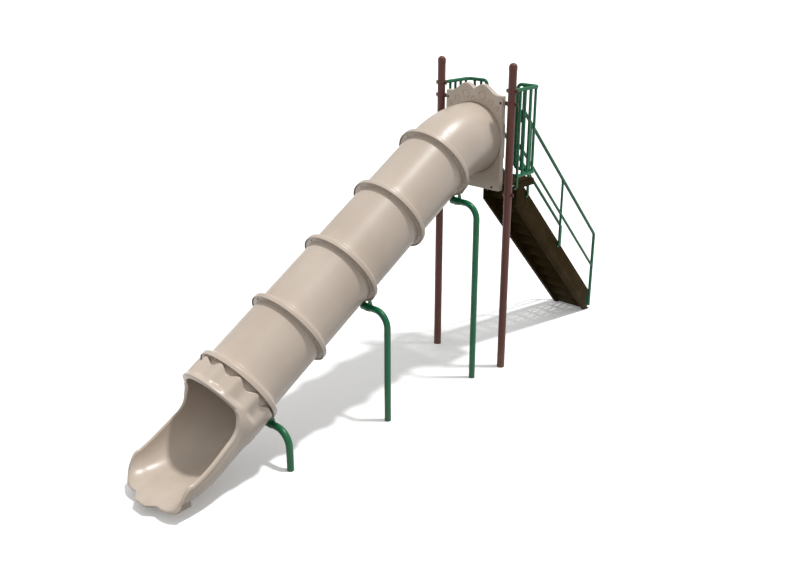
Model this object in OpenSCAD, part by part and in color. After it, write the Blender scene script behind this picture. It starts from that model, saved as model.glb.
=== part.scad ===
// Tube slide for a play structure: an enclosed straight chute of bolted, moulded
// sections that runs from a raised deck down to an open, scooped exit.
// Millimetres, +Z up. The slide descends towards -X and the stair towards +X.
// Working frame: both posts stand on x = 0, the ground is z = 0, y = 0 is the
// plane of symmetry of the slide. The finished model is shifted along X so that
// its footprint is centred on the origin.

/* [Posts] */
// Outer diameter of the two upright posts
post_d = 88.9; // [80:0.1:100]
// Wall thickness of the posts
post_wall = 3.2; // [2:0.1:6]
// Distance between the axes of the two posts
post_spacing = 1000; // [960:5:1100]
// Height of the domed post tops above the deck
post_rise = 1337; // [1240:1:1480]
// Length of the cap skirt below its dome
cap_skirt = 38; // [20:1:70]

/* [Deck] */
// Height of the walking surface above the ground
deck_h = 2214; // [2150:1:2260]
// Length of the deck from its front edge to its rear edge
deck_len = 485; // [440:5:620]
// Height of the folded skirt round the deck
skirt_h = 77; // [60:1:100]
// Thickness of the deck sheet
deck_sheet = 4; // [3:0.5:6]

/* [Tube] */
// Inner diameter of the slide tube
bore_d = 770; // [720:2:790]
// Wall thickness of the moulded tube
tube_wall = 8; // [6:0.5:12]
// Slope of the straight run, in degrees below the horizontal
slope = 31.28; // [28:0.1:33]
// Height of the tube axis above the deck at the entrance panel
entry_rise = 480; // [470:1:560]
// Centre line radius of the entrance elbow
bend_r = 1000; // [700:10:1150]
// Straight length between the elbow bend and its bell
elbow_tail = 3; // [2:1:40]
// Pitch of the full length tube sections
section_len = 822; // [760:1:850]
// Height of the level end of the chute above the ground
exit_h = 111.5; // [90:0.5:240]

/* [Joints] */
// Outer radius of the overhanging bell rim
bell_r = 450; // [444:1:470]
// Length of the bell rim along the tube
bell_len = 58; // [48:1:80]
// Wall thickness of the bell rim
bell_wall = 9; // [6:0.5:12]
// Depth of the joint face inside the bell rim
seat_depth = 22; // [16:1:32]
// Radius of the joint bolt circle
bolt_circle_r = 413; // [411:0.5:418]
// Number of bolts in each joint
joint_bolts = 12; // [8:2:16]
// Diameter of the joint bolts
bolt_d = 9.5; // [8:0.5:12]

/* [Entrance panel] */
// Width of the panel that is left beside the tube on each side
panel_edge = 8; // [6:0.5:40]
// Thickness of the hollow moulded panel
panel_t = 58; // [40:1:70]
// Reach of the panel below the axis of the tube
panel_drop = 562; // [530:1:610]
// Reach of the panel corners above the axis of the tube
panel_rise = 498; // [480:1:560]
// Height of the two crests above the side shoulders
crest_h = 102; // [60:1:130]

/* [Exit] */
// Length of the closed hood below the last joint
hood_len = 260; // [220:5:300]
// Angle from the bottom of the tube up to the corner of the hood
hood_angle = 115; // [105:1:125]
// Thickness of the lobed collar and the hood
hood_t = 55; // [44:1:60]
// Thickness of the rolled rim of the open chute
rim_t = 38; // [26:1:46]
// Radius of the underside where the chute levels out
run_out_r = 1500; // [1300:10:1700]
// Half width of the chute at its mouth
mouth_half_w = 415; // [395:1:430]
// Depth of the chute where the side walls start to fall to the mouth
mouth_depth = 262; // [220:1:300]
// Length of the level mouth in front of the run-out curve
mouth_len = 268; // [220:1:320]
// Bend of the bottom of the mouth section, 1 for round and less for flatter
mouth_flatness = 0.7; // [0.6:0.05:1]

/* [Stair] */
// Number of risers from the ground to the deck
risers = 12; // [11:1:13]
// Slope of the stringers as rise over run
stair_slope = 1.069; // [1.04:0.005:1.1]
// Distance between the outer faces of the stringers
stair_w = 500; // [460:2:520]
// Depth of the stringers, measured square to their edges
stringer_depth = 243; // [220:1:260]
// Thickness of the stringer plate
stringer_t = 6; // [4:0.5:8]
// Thickness of the folded step sheet
step_sheet = 4; // [3:0.5:5]

/* [Rails] */
// Diameter of the barrier rails and handrails
rail_d = 32; // [28:0.5:38]
// Diameter of the middle rail of the handrails
mid_rail_d = 28; // [24:0.5:30]
// Diameter of the barrier bars and handrail uprights
bar_d = 25.4; // [20:0.2:28]
// Height of the barrier top rail above the deck
barrier_h = 1041; // [960:1:1080]
// Height of the barrier bottom rail above the deck
barrier_low = 81; // [60:1:110]
// Height of the handrail above the slope of the stringers
handrail_h = 812; // [760:1:900]
// Height of the middle rail above the slope of the stringers
mid_rail_h = 363; // [300:1:450]

/* [Support legs] */
// Outer diameter of the support legs
leg_d = 70; // [60:1:80]
// Wall thickness of the support legs
leg_wall = 3.5; // [2.5:0.5:6]
// Distance of the legs from the plane of symmetry
leg_y = 435; // [420:1:480]
// Centre line radius of the bend at the top of each leg
leg_bend_r = 165; // [120:5:200]

/* [Hidden] */

post_r = post_d / 2;
post_y = post_spacing / 2;
bore_r = bore_d / 2;
tube_r = bore_r + tube_wall;
leg_r = leg_d / 2;
rail_r = rail_d / 2;
bar_r = bar_d / 2;
cap_dome = 0.8 * post_r;
cap_floor = 8;
bolt_r = bolt_d / 2;
// Gap between pieces that are slid or laid against each other
slip = 0.3;
post_top = deck_h + post_rise;
cap_seat = post_top - cap_dome - cap_floor - 0.3;
entry_h = deck_h + entry_rise;
deck_w = post_spacing - 2 * (bar_r + slip + 3);
panel_low = entry_h - panel_drop;
panel_top = entry_h + panel_rise;

// Colours of the finished pieces
tan_c = [0.78, 0.73, 0.66];
post_c = [0.40, 0.24, 0.20];
rail_c = [0.12, 0.40, 0.26];
deck_c = [0.24, 0.19, 0.14];
bolt_c = [0.62, 0.62, 0.60];

function lerp(a, b, t) = a + (b - a) * t;
function clamp01(t) = min(1, max(0, t));
function ease(t) = let (u = clamp01(t)) u * u * (3 - 2 * u);
function unit(v) = v / norm(v);
function arc_points(cx, cy, r, a0, a1, n) =
    [for (i = [0 : n]) let (a = lerp(a0, a1, i / n)) [cx + r * cos(a), cy + r * sin(a)]];

// Tube centre line. Its straight and its level run meet at the elbow corner.
down = [-cos(slope), 0, -sin(slope)];
up_n = [-sin(slope), 0, cos(slope)];
elbow_t = bend_r * tan(slope / 2);
shoulder_r = 17;
first_joint = elbow_t + elbow_tail + bell_len + 2 * shoulder_r;
panel_x = -3;
panel_w = 2 * (tube_r + 1 + panel_edge);
panel_front = panel_x - panel_t / 2;
panel_rear = panel_x + panel_t / 2;
elbow_run = 79.2;
corner = [panel_front - elbow_run - elbow_t, 0, entry_h];
level_q = 323;
exit_s = (entry_h - tube_r * cos(slope) - run_out_r * (1 - cos(slope)) - exit_h) / sin(slope) - level_q;
joint_s = [first_joint, first_joint + section_len, first_joint + 2 * section_len,
    first_joint + 3 * section_len, exit_s];
flange_r = bell_r - bell_wall - 5;
flange_t = 14;
function axis_at(s) = corner + s * down;

// Stair lines
stair_x = panel_rear + 4 + deck_len;
stair_rise = deck_h / risers;
stringer_v = stringer_depth * sqrt(1 + stair_slope * stair_slope);
edge_drop = 24;
toe_gap = 8;
foot_toe = 45;
function edge_z(x) = deck_h - edge_drop - stair_slope * (x - stair_x);
function edge_x(z) = stair_x + (deck_h - edge_drop - z) / stair_slope;
function under_x(z) = edge_x(z + stringer_v);
stringer_end = edge_x(stair_rise) - 91;
foot_end = stringer_end + foot_toe;
nose_first = stair_x + 138;
nose_last = stringer_end - toe_gap;
step_run = (nose_last - nose_first) / (risers - 2);
rail_y = stair_w / 2 + rail_r - 1;

// Deck and barrier lines
deck_front = panel_rear + 4;
deck_rear = deck_front + deck_len;
barrier_top = deck_h + barrier_h;
barrier_bottom = deck_h + barrier_low;
barrier_x = deck_rear - 27;
barrier_end_y = stair_w / 2 - 28;
clamp_h = 40;
clamp_wall = 5.5;
lug_bolt = 62;
lug_reach = 12;
lug_t = 6;
lug_gap = 3;
leg_bar_x = post_r + 110.5;
back_leg_y = rail_y + 65;
foot_disc = 7;
bracket_t = 5;
bracket_z = panel_top - 77;
deck_clamp_z = deck_h - skirt_h - 4 - clamp_h / 2;

// Exit chute. The path is the outer underside; q runs along it from the last rim.
arc_len = run_out_r * slope * PI / 180;
mouth_q = level_q + arc_len - 16;
front_q = level_q + arc_len + mouth_len;
arc_start = axis_at(exit_s + level_q) - tube_r * up_n;
arc_c = arc_start + run_out_r * up_n;
function path_tilt(q) = slope - clamp01((q - level_q) / arc_len) * slope;
function path_up(q) = let (a = path_tilt(q)) [-sin(a), 0, cos(a)];
function path_pt(q) =
    q < level_q ? axis_at(exit_s + q) - tube_r * up_n
    : arc_c - run_out_r * path_up(q) - [max(0, q - level_q - arc_len), 0, 0];
lip_x = path_pt(front_q)[0];
centre_x = (lip_x + foot_end) / 2;

module place() {
    translate([-centre_x, 0, 0]) children();
}

// Local frame on the slope: +X to the top of the tube, +Z down the slide
module on_slope(s) {
    translate(axis_at(s)) rotate([0, -90 - slope, 0]) children();
}

// Straight round bar between two points
module rod(a, b, r) {
    z = unit(b - a);
    x = unit(cross(abs(z[2]) < 0.9 ? [0, 0, 1] : [1, 0, 0], z));
    y = cross(z, x);
    multmatrix([[x[0], y[0], z[0], a[0]], [x[1], y[1], z[1], a[1]],
        [x[2], y[2], z[2], a[2]], [0, 0, 0, 1]])
        cylinder(h = norm(b - a), r = r, $fn = 32);
}

// Round bar that follows a list of corner points with the same bend at each. Each
// length is drawn in the frame that the one before it ends in, and laps a little
// over the ends of the bends, which are drawn a touch slimmer.
lap = 0.6;
slim = 0.15;
module bent_rod(pts, r, bend) {
    z = unit(pts[1] - pts[0]);
    x = unit(cross(abs(z[2]) < 0.9 ? [0, 0, 1] : [1, 0, 0], z));
    y = cross(z, x);
    multmatrix([[x[0], y[0], z[0], pts[0][0]], [x[1], y[1], z[1], pts[0][1]],
        [x[2], y[2], z[2], pts[0][2]], [0, 0, 0, 1]])
        bar_run(pts, 0, x, y, r, bend);
}

function corner_turn(pts, i) = (i <= 0 || i >= len(pts) - 1) ? 0
    : acos(unit(pts[i] - pts[i - 1]) * unit(pts[i + 1] - pts[i]));

module bar_run(pts, i, x, y, r, bend) {
    z = unit(pts[i + 1] - pts[i]);
    turn = corner_turn(pts, i + 1);
    run = norm(pts[i + 1] - pts[i]) - bend * (tan(corner_turn(pts, i) / 2) + tan(turn / 2));
    lap_a = i > 0 ? lap : 0;
    translate([0, 0, -lap_a]) cylinder(h = run + lap_a + (turn > 0 ? lap : 0), r = r, $fn = 32);
    if (turn > 0) {
        d = unit(pts[i + 2] - pts[i + 1]);
        inw = unit(d - (d * z) * z);
        roll = atan2(inw * y, inw * x);
        xr = cos(roll) * x + sin(roll) * y;
        yr = cos(roll) * y - sin(roll) * x;
        translate([0, 0, run]) rotate([0, 0, roll]) {
            multmatrix([[-1, 0, 0, bend], [0, 0, 1, 0], [0, 1, 0, 0], [0, 0, 0, 1]])
                rotate_extrude(angle = turn, $fn = 96) translate([bend, 0])
                    circle(r = r - slim, $fn = 32);
            translate([bend * (1 - cos(turn)), 0, bend * sin(turn)]) rotate([0, turn, 0])
                bar_run(pts, i + 1, cos(turn) * xr - sin(turn) * z, yr, r, bend);
        }
    }
}

// Hexagon bolt along +Z: the washer lies on z = 0 and the shank goes down
module hex_bolt(shank, r, head = 1) {
    translate([0, 0, -shank]) cylinder(h = shank + 1, r = r, $fn = 24);
    cylinder(h = 2.5, r = 2.4 * r, $fn = 24);
    translate([0, 0, 2.5]) cylinder(h = 1.4 * r * head, r = 1.9 * r, $fn = 6);
}

// Low domed bolt along +Z, as used where hands reach
module dome_bolt(shank, r, cap_r) {
    h = 0.42 * cap_r;
    sr = (cap_r * cap_r + h * h) / (2 * h);
    translate([0, 0, -shank]) cylinder(h = shank + 0.5, r = r, $fn = 24);
    rotate_extrude($fn = 36)
        polygon(concat([[0, 0], [cap_r, 0]], [for (i = [1 : 6])
            let (x = cap_r * (1 - i / 6)) [x, sqrt(sr * sr - x * x) - sr + h]]));
}

// Posts
module post(side) {
    place() color(post_c) translate([0, side * post_y, 0]) difference() {
        cylinder(h = cap_seat, r = post_r, $fn = 72);
        translate([0, 0, -1]) cylinder(h = post_top, r = post_r - post_wall, $fn = 72);
    }
}

module post_left() {
    post(1);
}

module post_right() {
    post(-1);
}

// Domed caps that slip over the open ends of the posts
module post_caps() {
    cap_in = post_r + slip;
    cap_out = cap_in + 1.8;
    place() color(post_c) for (side = [-1, 1])
        translate([0, side * post_y, post_top - cap_dome]) rotate_extrude($fn = 72)
            polygon(concat(
                [[0, -cap_floor], [cap_in, -cap_floor], [cap_in, -cap_skirt], [cap_out, -cap_skirt]],
                [for (i = [0 : 10]) [cap_out * cos(9 * i), cap_dome * sin(9 * i)]]));
}

strap_angle = 36;
strap_w = 50;
strap_t = 6;

// Two half rings that close round a post, with a bolted lug on each side
module clamp_at(side, z) {
    r_in = post_r + slip;
    r_out = r_in + clamp_wall;
    translate([0, side * post_y, z - clamp_h / 2]) difference() {
        union() {
            cylinder(h = clamp_h, r = r_out, $fn = 72);
            for (s = [-1, 1]) for (f = [-1, 1])
                translate([f > 0 ? lug_gap / 2 : -lug_gap / 2 - lug_t,
                    s > 0 ? r_in : -lug_bolt - lug_reach, 0])
                    cube([lug_t, lug_bolt + lug_reach - r_in, clamp_h]);
        }
        translate([0, 0, -1]) cylinder(h = clamp_h + 2, r = r_in, $fn = 72);
        translate([-lug_gap / 2, -100, -1]) cube([lug_gap, 200, clamp_h + 2]);
        for (s = [-1, 1]) translate([-30, s * lug_bolt, clamp_h / 2])
            rotate([0, 90, 0]) cylinder(h = 60, r = bolt_r + 0.5, $fn = 24);
    }
}

// Clamps that hold the barrier top rails
module rail_clamps() {
    place() color(post_c) for (side = [-1, 1]) clamp_at(side, barrier_top);
}

// Clamps that hold the brackets of the entrance panel
module panel_clamps() {
    place() color(post_c) for (side = [-1, 1]) clamp_at(side, bracket_z);
}

// Clamps under the corners of the deck, each with a ledge that carries the skirt
module deck_clamps() {
    place() color(post_c) for (side = [-1, 1]) {
        clamp_at(side, deck_clamp_z);
        difference() {
            translate([post_r + clamp_wall - 4, side > 0 ? post_y - 100 : -post_y + 10,
                deck_h - skirt_h - 4])
                cube([62, 90, 4]);
            translate([0, side * post_y, deck_h - skirt_h - 5])
                cylinder(h = 6, r = post_r + slip, $fn = 72);
        }
        translate([post_r + clamp_wall - 1, side * (post_y - 55) - 3, deck_clamp_z - clamp_h / 2 + 4])
            cube([40, 6, clamp_h - 4]);
    }
}

module clamp_bolts() {
    place() color(bolt_c) for (side = [-1, 1], z = [barrier_top, bracket_z, deck_clamp_z],
        s = [-1, 1])
        translate([-lug_gap / 2 - lug_t, side * post_y + s * lug_bolt, z]) rotate([0, -90, 0]) {
            hex_bolt(2 * lug_t + lug_gap + 16, bolt_r);
            translate([0, 0, -2 * lug_t - lug_gap
                - (z == bracket_z && s * side < 0 ? bracket_t + slip : 0)])
                mirror([0, 0, 1])
                cylinder(h = 8, r = 1.9 * bolt_r, $fn = 6);
        }
}

// Deck
module deck_outline(inset) {
    difference() {
        translate([deck_front + inset, -deck_w / 2 + inset])
            square([deck_len - 2 * inset, deck_w - 2 * inset]);
        for (side = [-1, 1]) translate([0, side * post_y])
            circle(r = post_r + 8 + inset, $fn = 72);
    }
}

slot_pitch = deck_w / 5.7;

module deck() {
    place() color(deck_c) {
        difference() {
            translate([0, 0, deck_h - skirt_h])
                linear_extrude(skirt_h) deck_outline(0);
            translate([0, 0, deck_h - skirt_h - 1])
                linear_extrude(skirt_h + 1 - deck_sheet) deck_outline(deck_sheet);
            for (y = [-2 : 2], x = [0 : 7])
                translate([deck_front + 70 + x * (deck_len - 140) / 7, y * slot_pitch - 45, deck_h - 10])
                    cube([14, 90, 20]);
            at_deck_bolts() drill(4.5);
            for (side = [-1, 1]) {
                at_barrier_feet(side) drill(4.5);
                translate([deck_front - 10, side * foot_bolt_y, foot_bolt_z]) rotate([0, 90, 0])
                    cylinder(h = 20, r = bolt_r + 0.5, $fn = 24);
            }
        }
        for (y = [-1, 1])
            translate([deck_front + deck_sheet, y * 1.5 * slot_pitch - 2, deck_h - skirt_h + 12])
                cube([deck_len - 2 * deck_sheet, 4, skirt_h - 12 - deck_sheet]);
    }
}

module at_deck_bolts() {
    for (side = [-1, 1], x = [0, 1])
        translate([deck_front + 60 + 30 * x, side * deck_w / 2, deck_h - 22])
            rotate([-90 * side, 0, 0]) children();
}

module deck_bolts() {
    place() color(bolt_c) at_deck_bolts() hex_bolt(10, 4);
}

// Feet of the barriers: one beside the post and one on the rear skirt
module at_barrier_feet(side) {
    translate([leg_bar_x, side * (deck_w / 2 + slip), deck_h - 60])
        rotate([-90 * side, 0, 0]) children();
    translate([deck_rear + slip, side * back_leg_y, deck_h - 55])
        rotate([0, 90, 0]) children();
}

// Entrance panel: one outline for the moulded body, with two crests and a notch
function crest_z(y) =
    let (a = abs(y), w = panel_w / 2, shoulder = w - 88, crest = 108)
    a > shoulder ? 18 * ease((w - a) / 88)
    : a > crest ? 18 + (crest_h - 18) * pow((shoulder - a) / (shoulder - crest), 1.55)
    : crest_h - 52 * pow((crest - a) / crest, 1.7);

panel_bolt_y = panel_w / 2 - 29;
foot_bolt_y = 290;
foot_bolt_z = panel_low + 35;

module panel_outline() {
    r = 26;
    w = panel_w / 2;
    polygon(concat(
        arc_points(-w + r, panel_low + r, r, 180, 270, 4),
        arc_points(w - r, panel_low + r, r, 270, 360, 4),
        [for (i = [0 : 48]) let (y = w - 2 * w * i / 48) [y, panel_top + crest_z(y)]]));
}

// Raised ornament ring on the front of the panel, at an angle round the tube and a
// distance beyond the tube wall
module ring_mark(angle, out, r, w) {
    translate([panel_front + 0.5, (tube_r + out) * sin(angle), entry_h + (tube_r + out) * cos(angle)])
        rotate([0, -90, 0]) rotate_extrude($fn = 48)
        polygon([[r - w, 0], [r, 0], [r, 2.2], [r - 0.25 * w, 4.2], [r - 0.75 * w, 4.2], [r - w, 2.2]]);
}

module entrance_panel() {
    place() color(tan_c) {
        difference() {
            translate([panel_front, 0, 0]) rotate([90, 0, 90])
                linear_extrude(panel_t) panel_outline();
            translate([panel_front - 1, 0, entry_h]) rotate([0, 90, 0])
                cylinder(h = panel_t + 2, r = tube_r + 1, $fn = 120);
            for (side = [-1, 1]) {
                translate([panel_front - 1, side * panel_bolt_y, bracket_z]) rotate([0, 90, 0])
                    cylinder(h = panel_t + 2, r = bolt_r + 0.5, $fn = 24);
                translate([panel_front - 1, side * foot_bolt_y, foot_bolt_z]) rotate([0, 90, 0])
                    cylinder(h = panel_t + 2, r = bolt_r + 0.5, $fn = 24);
            }
            at_entry_bolts() translate([0, 0, -30]) cylinder(h = 31, r = bolt_r + 0.5, $fn = 24);
        }
        for (side = [-1, 1]) {
            ring_mark(side * 42.4, 99, 23, 7);
            ring_mark(side * 29.5, 91, 36, 9);
            ring_mark(side * 13.2, 101, 51, 12);
        }
        ring_mark(1, 44, 30, 8);
        translate([panel_front + 0.5, 0, (panel_low + entry_h - tube_r) / 2]) rotate([0, -90, 0])
            cylinder(h = 12.5, r = 15, $fn = 36);
    }
}

// Flat brackets from the panel to the post clamps, one pair high and one pair low
module panel_brackets() {
    y0 = panel_w / 2 - 55;
    y1 = panel_w / 2 + 4;
    y2 = post_y - lug_bolt + lug_reach;
    x0 = lug_gap / 2 + lug_t + slip;
    t = bracket_t;
    place() color(post_c) for (side = [-1, 1]) difference() {
        translate([0, 0, bracket_z - clamp_h / 2]) mirror([0, side > 0 ? 0 : 1, 0]) linear_extrude(clamp_h)
            polygon([[panel_rear, y0], [panel_rear + t, y0], [panel_rear + t, y1 + t],
                [x0 + t, y1 + t], [x0 + t, y2], [x0, y2], [x0, y1], [panel_rear, y1]]);
        translate([-5, side * (post_y - lug_bolt), bracket_z]) rotate([0, 90, 0])
            cylinder(h = 60, r = bolt_r + 0.5, $fn = 24);
        translate([panel_rear - 5, side * panel_bolt_y, bracket_z]) rotate([0, 90, 0])
            cylinder(h = 20, r = bolt_r + 0.5, $fn = 24);
    }
}

module panel_bolts() {
    place() color(bolt_c) for (side = [-1, 1], p = [[panel_bolt_y, bracket_z], [foot_bolt_y, foot_bolt_z]])
        translate([panel_front, side * p[0], p[1]]) rotate([0, -90, 0])
            dome_bolt(panel_t + 5, bolt_r, 15);
}

// Bolt holes of one joint, drilled along the tube from z = a to z = b
module joint_holes(a, b) {
    for (i = [0 : joint_bolts - 1]) rotate([0, 0, i * 360 / joint_bolts])
        translate([bolt_circle_r, 0, a]) cylinder(h = b - a, r = bolt_r + 0.5, $fn = 24);
}

// Threaded seats of the two saddle strap bolts in a bell whose rim is at z = 0
module strap_holes() {
    for (a = [-1, 1]) rotate([0, 0, 180 + a * (strap_angle - 5)])
        translate([bell_r - 12, 0, -bell_len / 2 - 1]) rotate([0, 90, 0])
            cylinder(h = 20, r = 5.5, $fn = 24);
}

// Outer profile of the overhanging bell at the lower end of a section, rim on z = b
function bell_points(b) = concat(
    arc_points(tube_r + shoulder_r, b - bell_len - 2 * shoulder_r, shoulder_r, 180, 90, 4),
    arc_points(bell_r - 22, b - bell_len + 22, 22, -90, 0, 6),
    arc_points(bell_r - 3, b - 3, 3, 0, 90, 2),
    [[bell_r - bell_wall + 1, b], [bell_r - bell_wall, b - 1],
        [bell_r - bell_wall, b - seat_depth], [bore_r, b - seat_depth]]);

// Straight moulded section between the joints at s = a and s = b
module tube_section(a, b) {
    top = -seat_depth;
    length = b - a;
    place() color(tan_c) on_slope(a) difference() {
        rotate_extrude($fn = 96) polygon(concat(
            [[bore_r, top], [flange_r, top], [flange_r, top + flange_t],
                [tube_r + 6, top + flange_t]],
            arc_points(tube_r + 6, top + flange_t + 6, 6, -90, -180, 3),
            bell_points(length)));
        joint_holes(top - 1, top + flange_t + 1);
        joint_holes(length - seat_depth - 26, length - seat_depth + 1);
        translate([0, 0, length]) strap_holes();
    }
}

// Entrance elbow: collar behind the panel, level run, bend and first bell. The
// bell ring laps over the end of the bend.
module entrance_elbow() {
    collar_t = 12;
    tangent = corner + elbow_t * [1, 0, 0];
    bend_c = tangent - [0, 0, bend_r];
    run = panel_rear + 1 + collar_t - tangent[0];
    low = first_joint - elbow_t;
    step = 0.5;
    place() color(tan_c) difference() {
        translate(bend_c) rotate([0, -90, 0]) rotate([90, 0, 0]) {
            translate([bend_r, 0, 0]) rotate([90, 0, 0]) rotate_extrude($fn = 96)
                polygon([[bore_r, 0], [tube_r, 0], [tube_r, run - collar_t],
                    [bell_r - 12, run - collar_t], [bell_r - 12, run], [bore_r, run]]);
            rotate_extrude(angle = slope, $fn = 120) translate([bend_r, 0]) difference() {
                circle(r = tube_r, $fn = 96);
                circle(r = bore_r, $fn = 96);
            }
            rotate([0, 0, slope]) translate([bend_r, 0, 0]) rotate([-90, 0, 0]) rotate_extrude($fn = 96)
                polygon(concat([[bore_r + step, -1], [tube_r + step, -1], [tube_r + step, 1]],
                    bell_points(low)));
        }
        on_slope(first_joint) {
            joint_holes(-seat_depth - 26, -seat_depth + 1);
            strap_holes();
        }
        at_entry_bolts() cylinder(h = 20, r = bolt_r + 0.5, $fn = 24);
        for (side = [-1, 1]) translate([panel_rear, side > 0 ? panel_w / 2 - 3 : -panel_w / 2 - 97,
            entry_h - 250])
            cube([collar_t + 2, 100, 500]);
    }
}

module tube_upper() {
    tube_section(joint_s[0], joint_s[1]);
}

module tube_second() {
    tube_section(joint_s[1], joint_s[2]);
}

module tube_third() {
    tube_section(joint_s[2], joint_s[3]);
}

module tube_lower() {
    tube_section(joint_s[3], joint_s[4]);
}

// Nut and bolt end round one joint, seen in the recess under the bell
module joint_bolt_ring(s) {
    place() color(bolt_c) on_slope(s) for (i = [0 : joint_bolts - 1])
        rotate([0, 0, i * 360 / joint_bolts])
            translate([bolt_circle_r, 0, flange_t - seat_depth])
                hex_bolt(flange_t + 20, bolt_r);
}

module joint_bolts_upper() {
    joint_bolt_ring(joint_s[0]);
}

module joint_bolts_second() {
    joint_bolt_ring(joint_s[1]);
}

module joint_bolts_third() {
    joint_bolt_ring(joint_s[2]);
}

module joint_bolts_fourth() {
    joint_bolt_ring(joint_s[3]);
}

module joint_bolts_exit() {
    joint_bolt_ring(joint_s[4]);
}

// Bolt places on the rear face of the panel, wherever the panel is wide enough
module at_entry_bolts() {
    for (i = [0 : joint_bolts - 1]) let (a = i * 360 / joint_bolts)
        if (abs(sin(a)) * bolt_circle_r < panel_w / 2 - 15)
            translate([panel_rear, 0, entry_h]) rotate([a, 0, 0])
                translate([0, 0, bolt_circle_r]) rotate([0, 90, 0]) children();
}

module entry_bolts() {
    place() color(bolt_c) at_entry_bolts() translate([0, 0, 13]) hex_bolt(36, bolt_r);
}

// Exit section. Cross-sections are measured from the underside path: psi is the
// angle from the bottom of the section and e is the wall thickness outside the
// smooth running surface. The running surface is a circle that turns into a
// shallow half ellipse towards the mouth.
hood_q = hood_len;
wall_angle = 88;
taper_q = 450;
function taper(q) = clamp01((q - taper_q) / (mouth_q - taper_q));
function half_w(q) = lerp(tube_r, mouth_half_w, ease((q - taper_q) / 500));
function half_h(q) = lerp(tube_r, mouth_depth, pow(taper(q), 1.6));
function rim_angle(q) = let (u = clamp01((q - hood_q) / 290))
    hood_angle - (hood_angle - wall_angle) * pow(1 - (1 - u) * (1 - u), 0.8);
// Length of the mouth in front of mouth_q at a distance y from the middle: a
// broad centre lobe, a notch and a side lobe that falls back to the corner
function mouth_reach(y) = let (a = abs(y), full = front_q - mouth_q)
    a < 180 ? full - 71 + 71 * pow(cos(a / 2), 2)
    : full - 131 + 60 * sqrt(max(0, 1 - pow((a - 240) / (mouth_half_w - 240), 2)));
function band_t(q) = lerp(hood_t, rim_t, ease((q - hood_q) / 160));
function band_w(q) = lerp(200, 58, ease((q - hood_q) / 230));
// Thickness at a distance a from the nearest free edge
function edge_t(a, full, width) =
    let (body = lerp(full, tube_wall, ease((a - width) / 34)),
        groove = 7 * exp(-pow((a - width + 20) / 7, 2)),
        lip = a < 16 ? 0.45 + 0.55 * sqrt(1 - pow(1 - a / 16, 2)) : 1)
    (body - groove) * lip;

// Angles of the points of one section, denser near the two rims
half_v = [0, 0.12, 0.24, 0.36, 0.48, 0.58, 0.66, 0.72, 0.77, 0.81, 0.85, 0.885, 0.915, 0.94, 0.965,
    0.985, 1];
nv = len(half_v) - 1;
open_v = concat([for (i = [nv : -1 : 1]) -half_v[i]], half_v);
n_open = len(open_v);
n_hood = 47;
n_ring = n_open + n_hood;
ring_psi = concat([for (v = open_v) v * hood_angle],
    [for (i = [1 : n_hood]) hood_angle + i * (360 - 2 * hood_angle) / (n_hood + 1)]);
function from_top(psi) = abs(((psi + 540) % 360) - 180);

// Bolt pockets every 30 degrees, cut into the upper end of the thick collar
function pocket(psi) = let (t = 180 - from_top(psi), o = abs(t - 30 * round(t / 30)))
    t > 104 ? 0 : 1 - ease((o - 4.5) / 6.5);
function collar_start(psi) = let (t = 180 - from_top(psi)) 6 + 56 * pocket(psi);
function flute(psi, q) = 9 * pocket(psi) * (1 - ease((q - 120) / 110));
function hood_wall(psi, q) =
    let (p = from_top(psi), a = (hood_angle - p) * bore_r * PI / 180, b = hood_q - q,
        d = p >= hood_angle ? b : norm([a, b]),
        full = hood_t - flute(psi, q) + 14 * exp(-pow((b - 22) / 20, 2)) * ease((p - hood_angle + 14) / 10),
        side = p >= hood_angle ? full * (d < 16 ? 0.45 + 0.55 * sqrt(1 - pow(1 - d / 16, 2)) : 1)
            : lerp(full, tube_wall, ease((a - band_w(hood_q)) / 34))
                * (d < 16 ? 0.45 + 0.55 * sqrt(1 - pow(1 - d / 16, 2)) : 1)
                - 7 * exp(-pow((a - band_w(hood_q) + 20) / 7, 2)) * ease((q - 150) / 80))
    tube_wall + (side - tube_wall) * ease((q - collar_start(psi)) / 16);

function bend_power(a, k) = sign(a) * pow(abs(a), k);
// k is 1 for a round section and less for one with a flatter bottom
function section_pt(base, up, w, h, psi, e, k = 1) =
    let (y = (w - tube_wall) * bend_power(sin(psi), k),
        z = tube_wall + (h - tube_wall) * (1 - bend_power(cos(psi), k)),
        n = unit([(h - tube_wall) * bend_power(sin(psi), 2 - k),
            (tube_wall - w) * bend_power(cos(psi), 2 - k)]))
    base + (z + e * n[1]) * up + [0, y + e * n[0], 0];

function ring_pt(q, psi, e) = section_pt(path_pt(q), up_n, tube_r, tube_r, psi, e);
collar_q = [for (u = [0, 8, 16, 26, 38, 52, 66, 80, 110, 150, 195, 222, 238, 246, 253, 258])
    u * hood_q / 260];
hood_rows = concat(
    [[for (psi = ring_psi) ring_pt(-seat_depth, psi, flange_r - bore_r)]],
    [[for (psi = ring_psi) ring_pt(-seat_depth + flange_t, psi, flange_r - bore_r)]],
    [[for (psi = ring_psi) ring_pt(-seat_depth + flange_t, psi, tube_wall)]],
    [for (q = collar_q) [for (psi = ring_psi) ring_pt(q, psi, hood_wall(psi, q))]],
    [[for (psi = ring_psi) ring_pt(hood_q, psi, hood_wall(psi, hood_q))]]);
hood_in = [[for (psi = ring_psi) ring_pt(-seat_depth, psi, 0)],
    [for (psi = ring_psi) ring_pt(hood_q, psi, 0)]];

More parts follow.
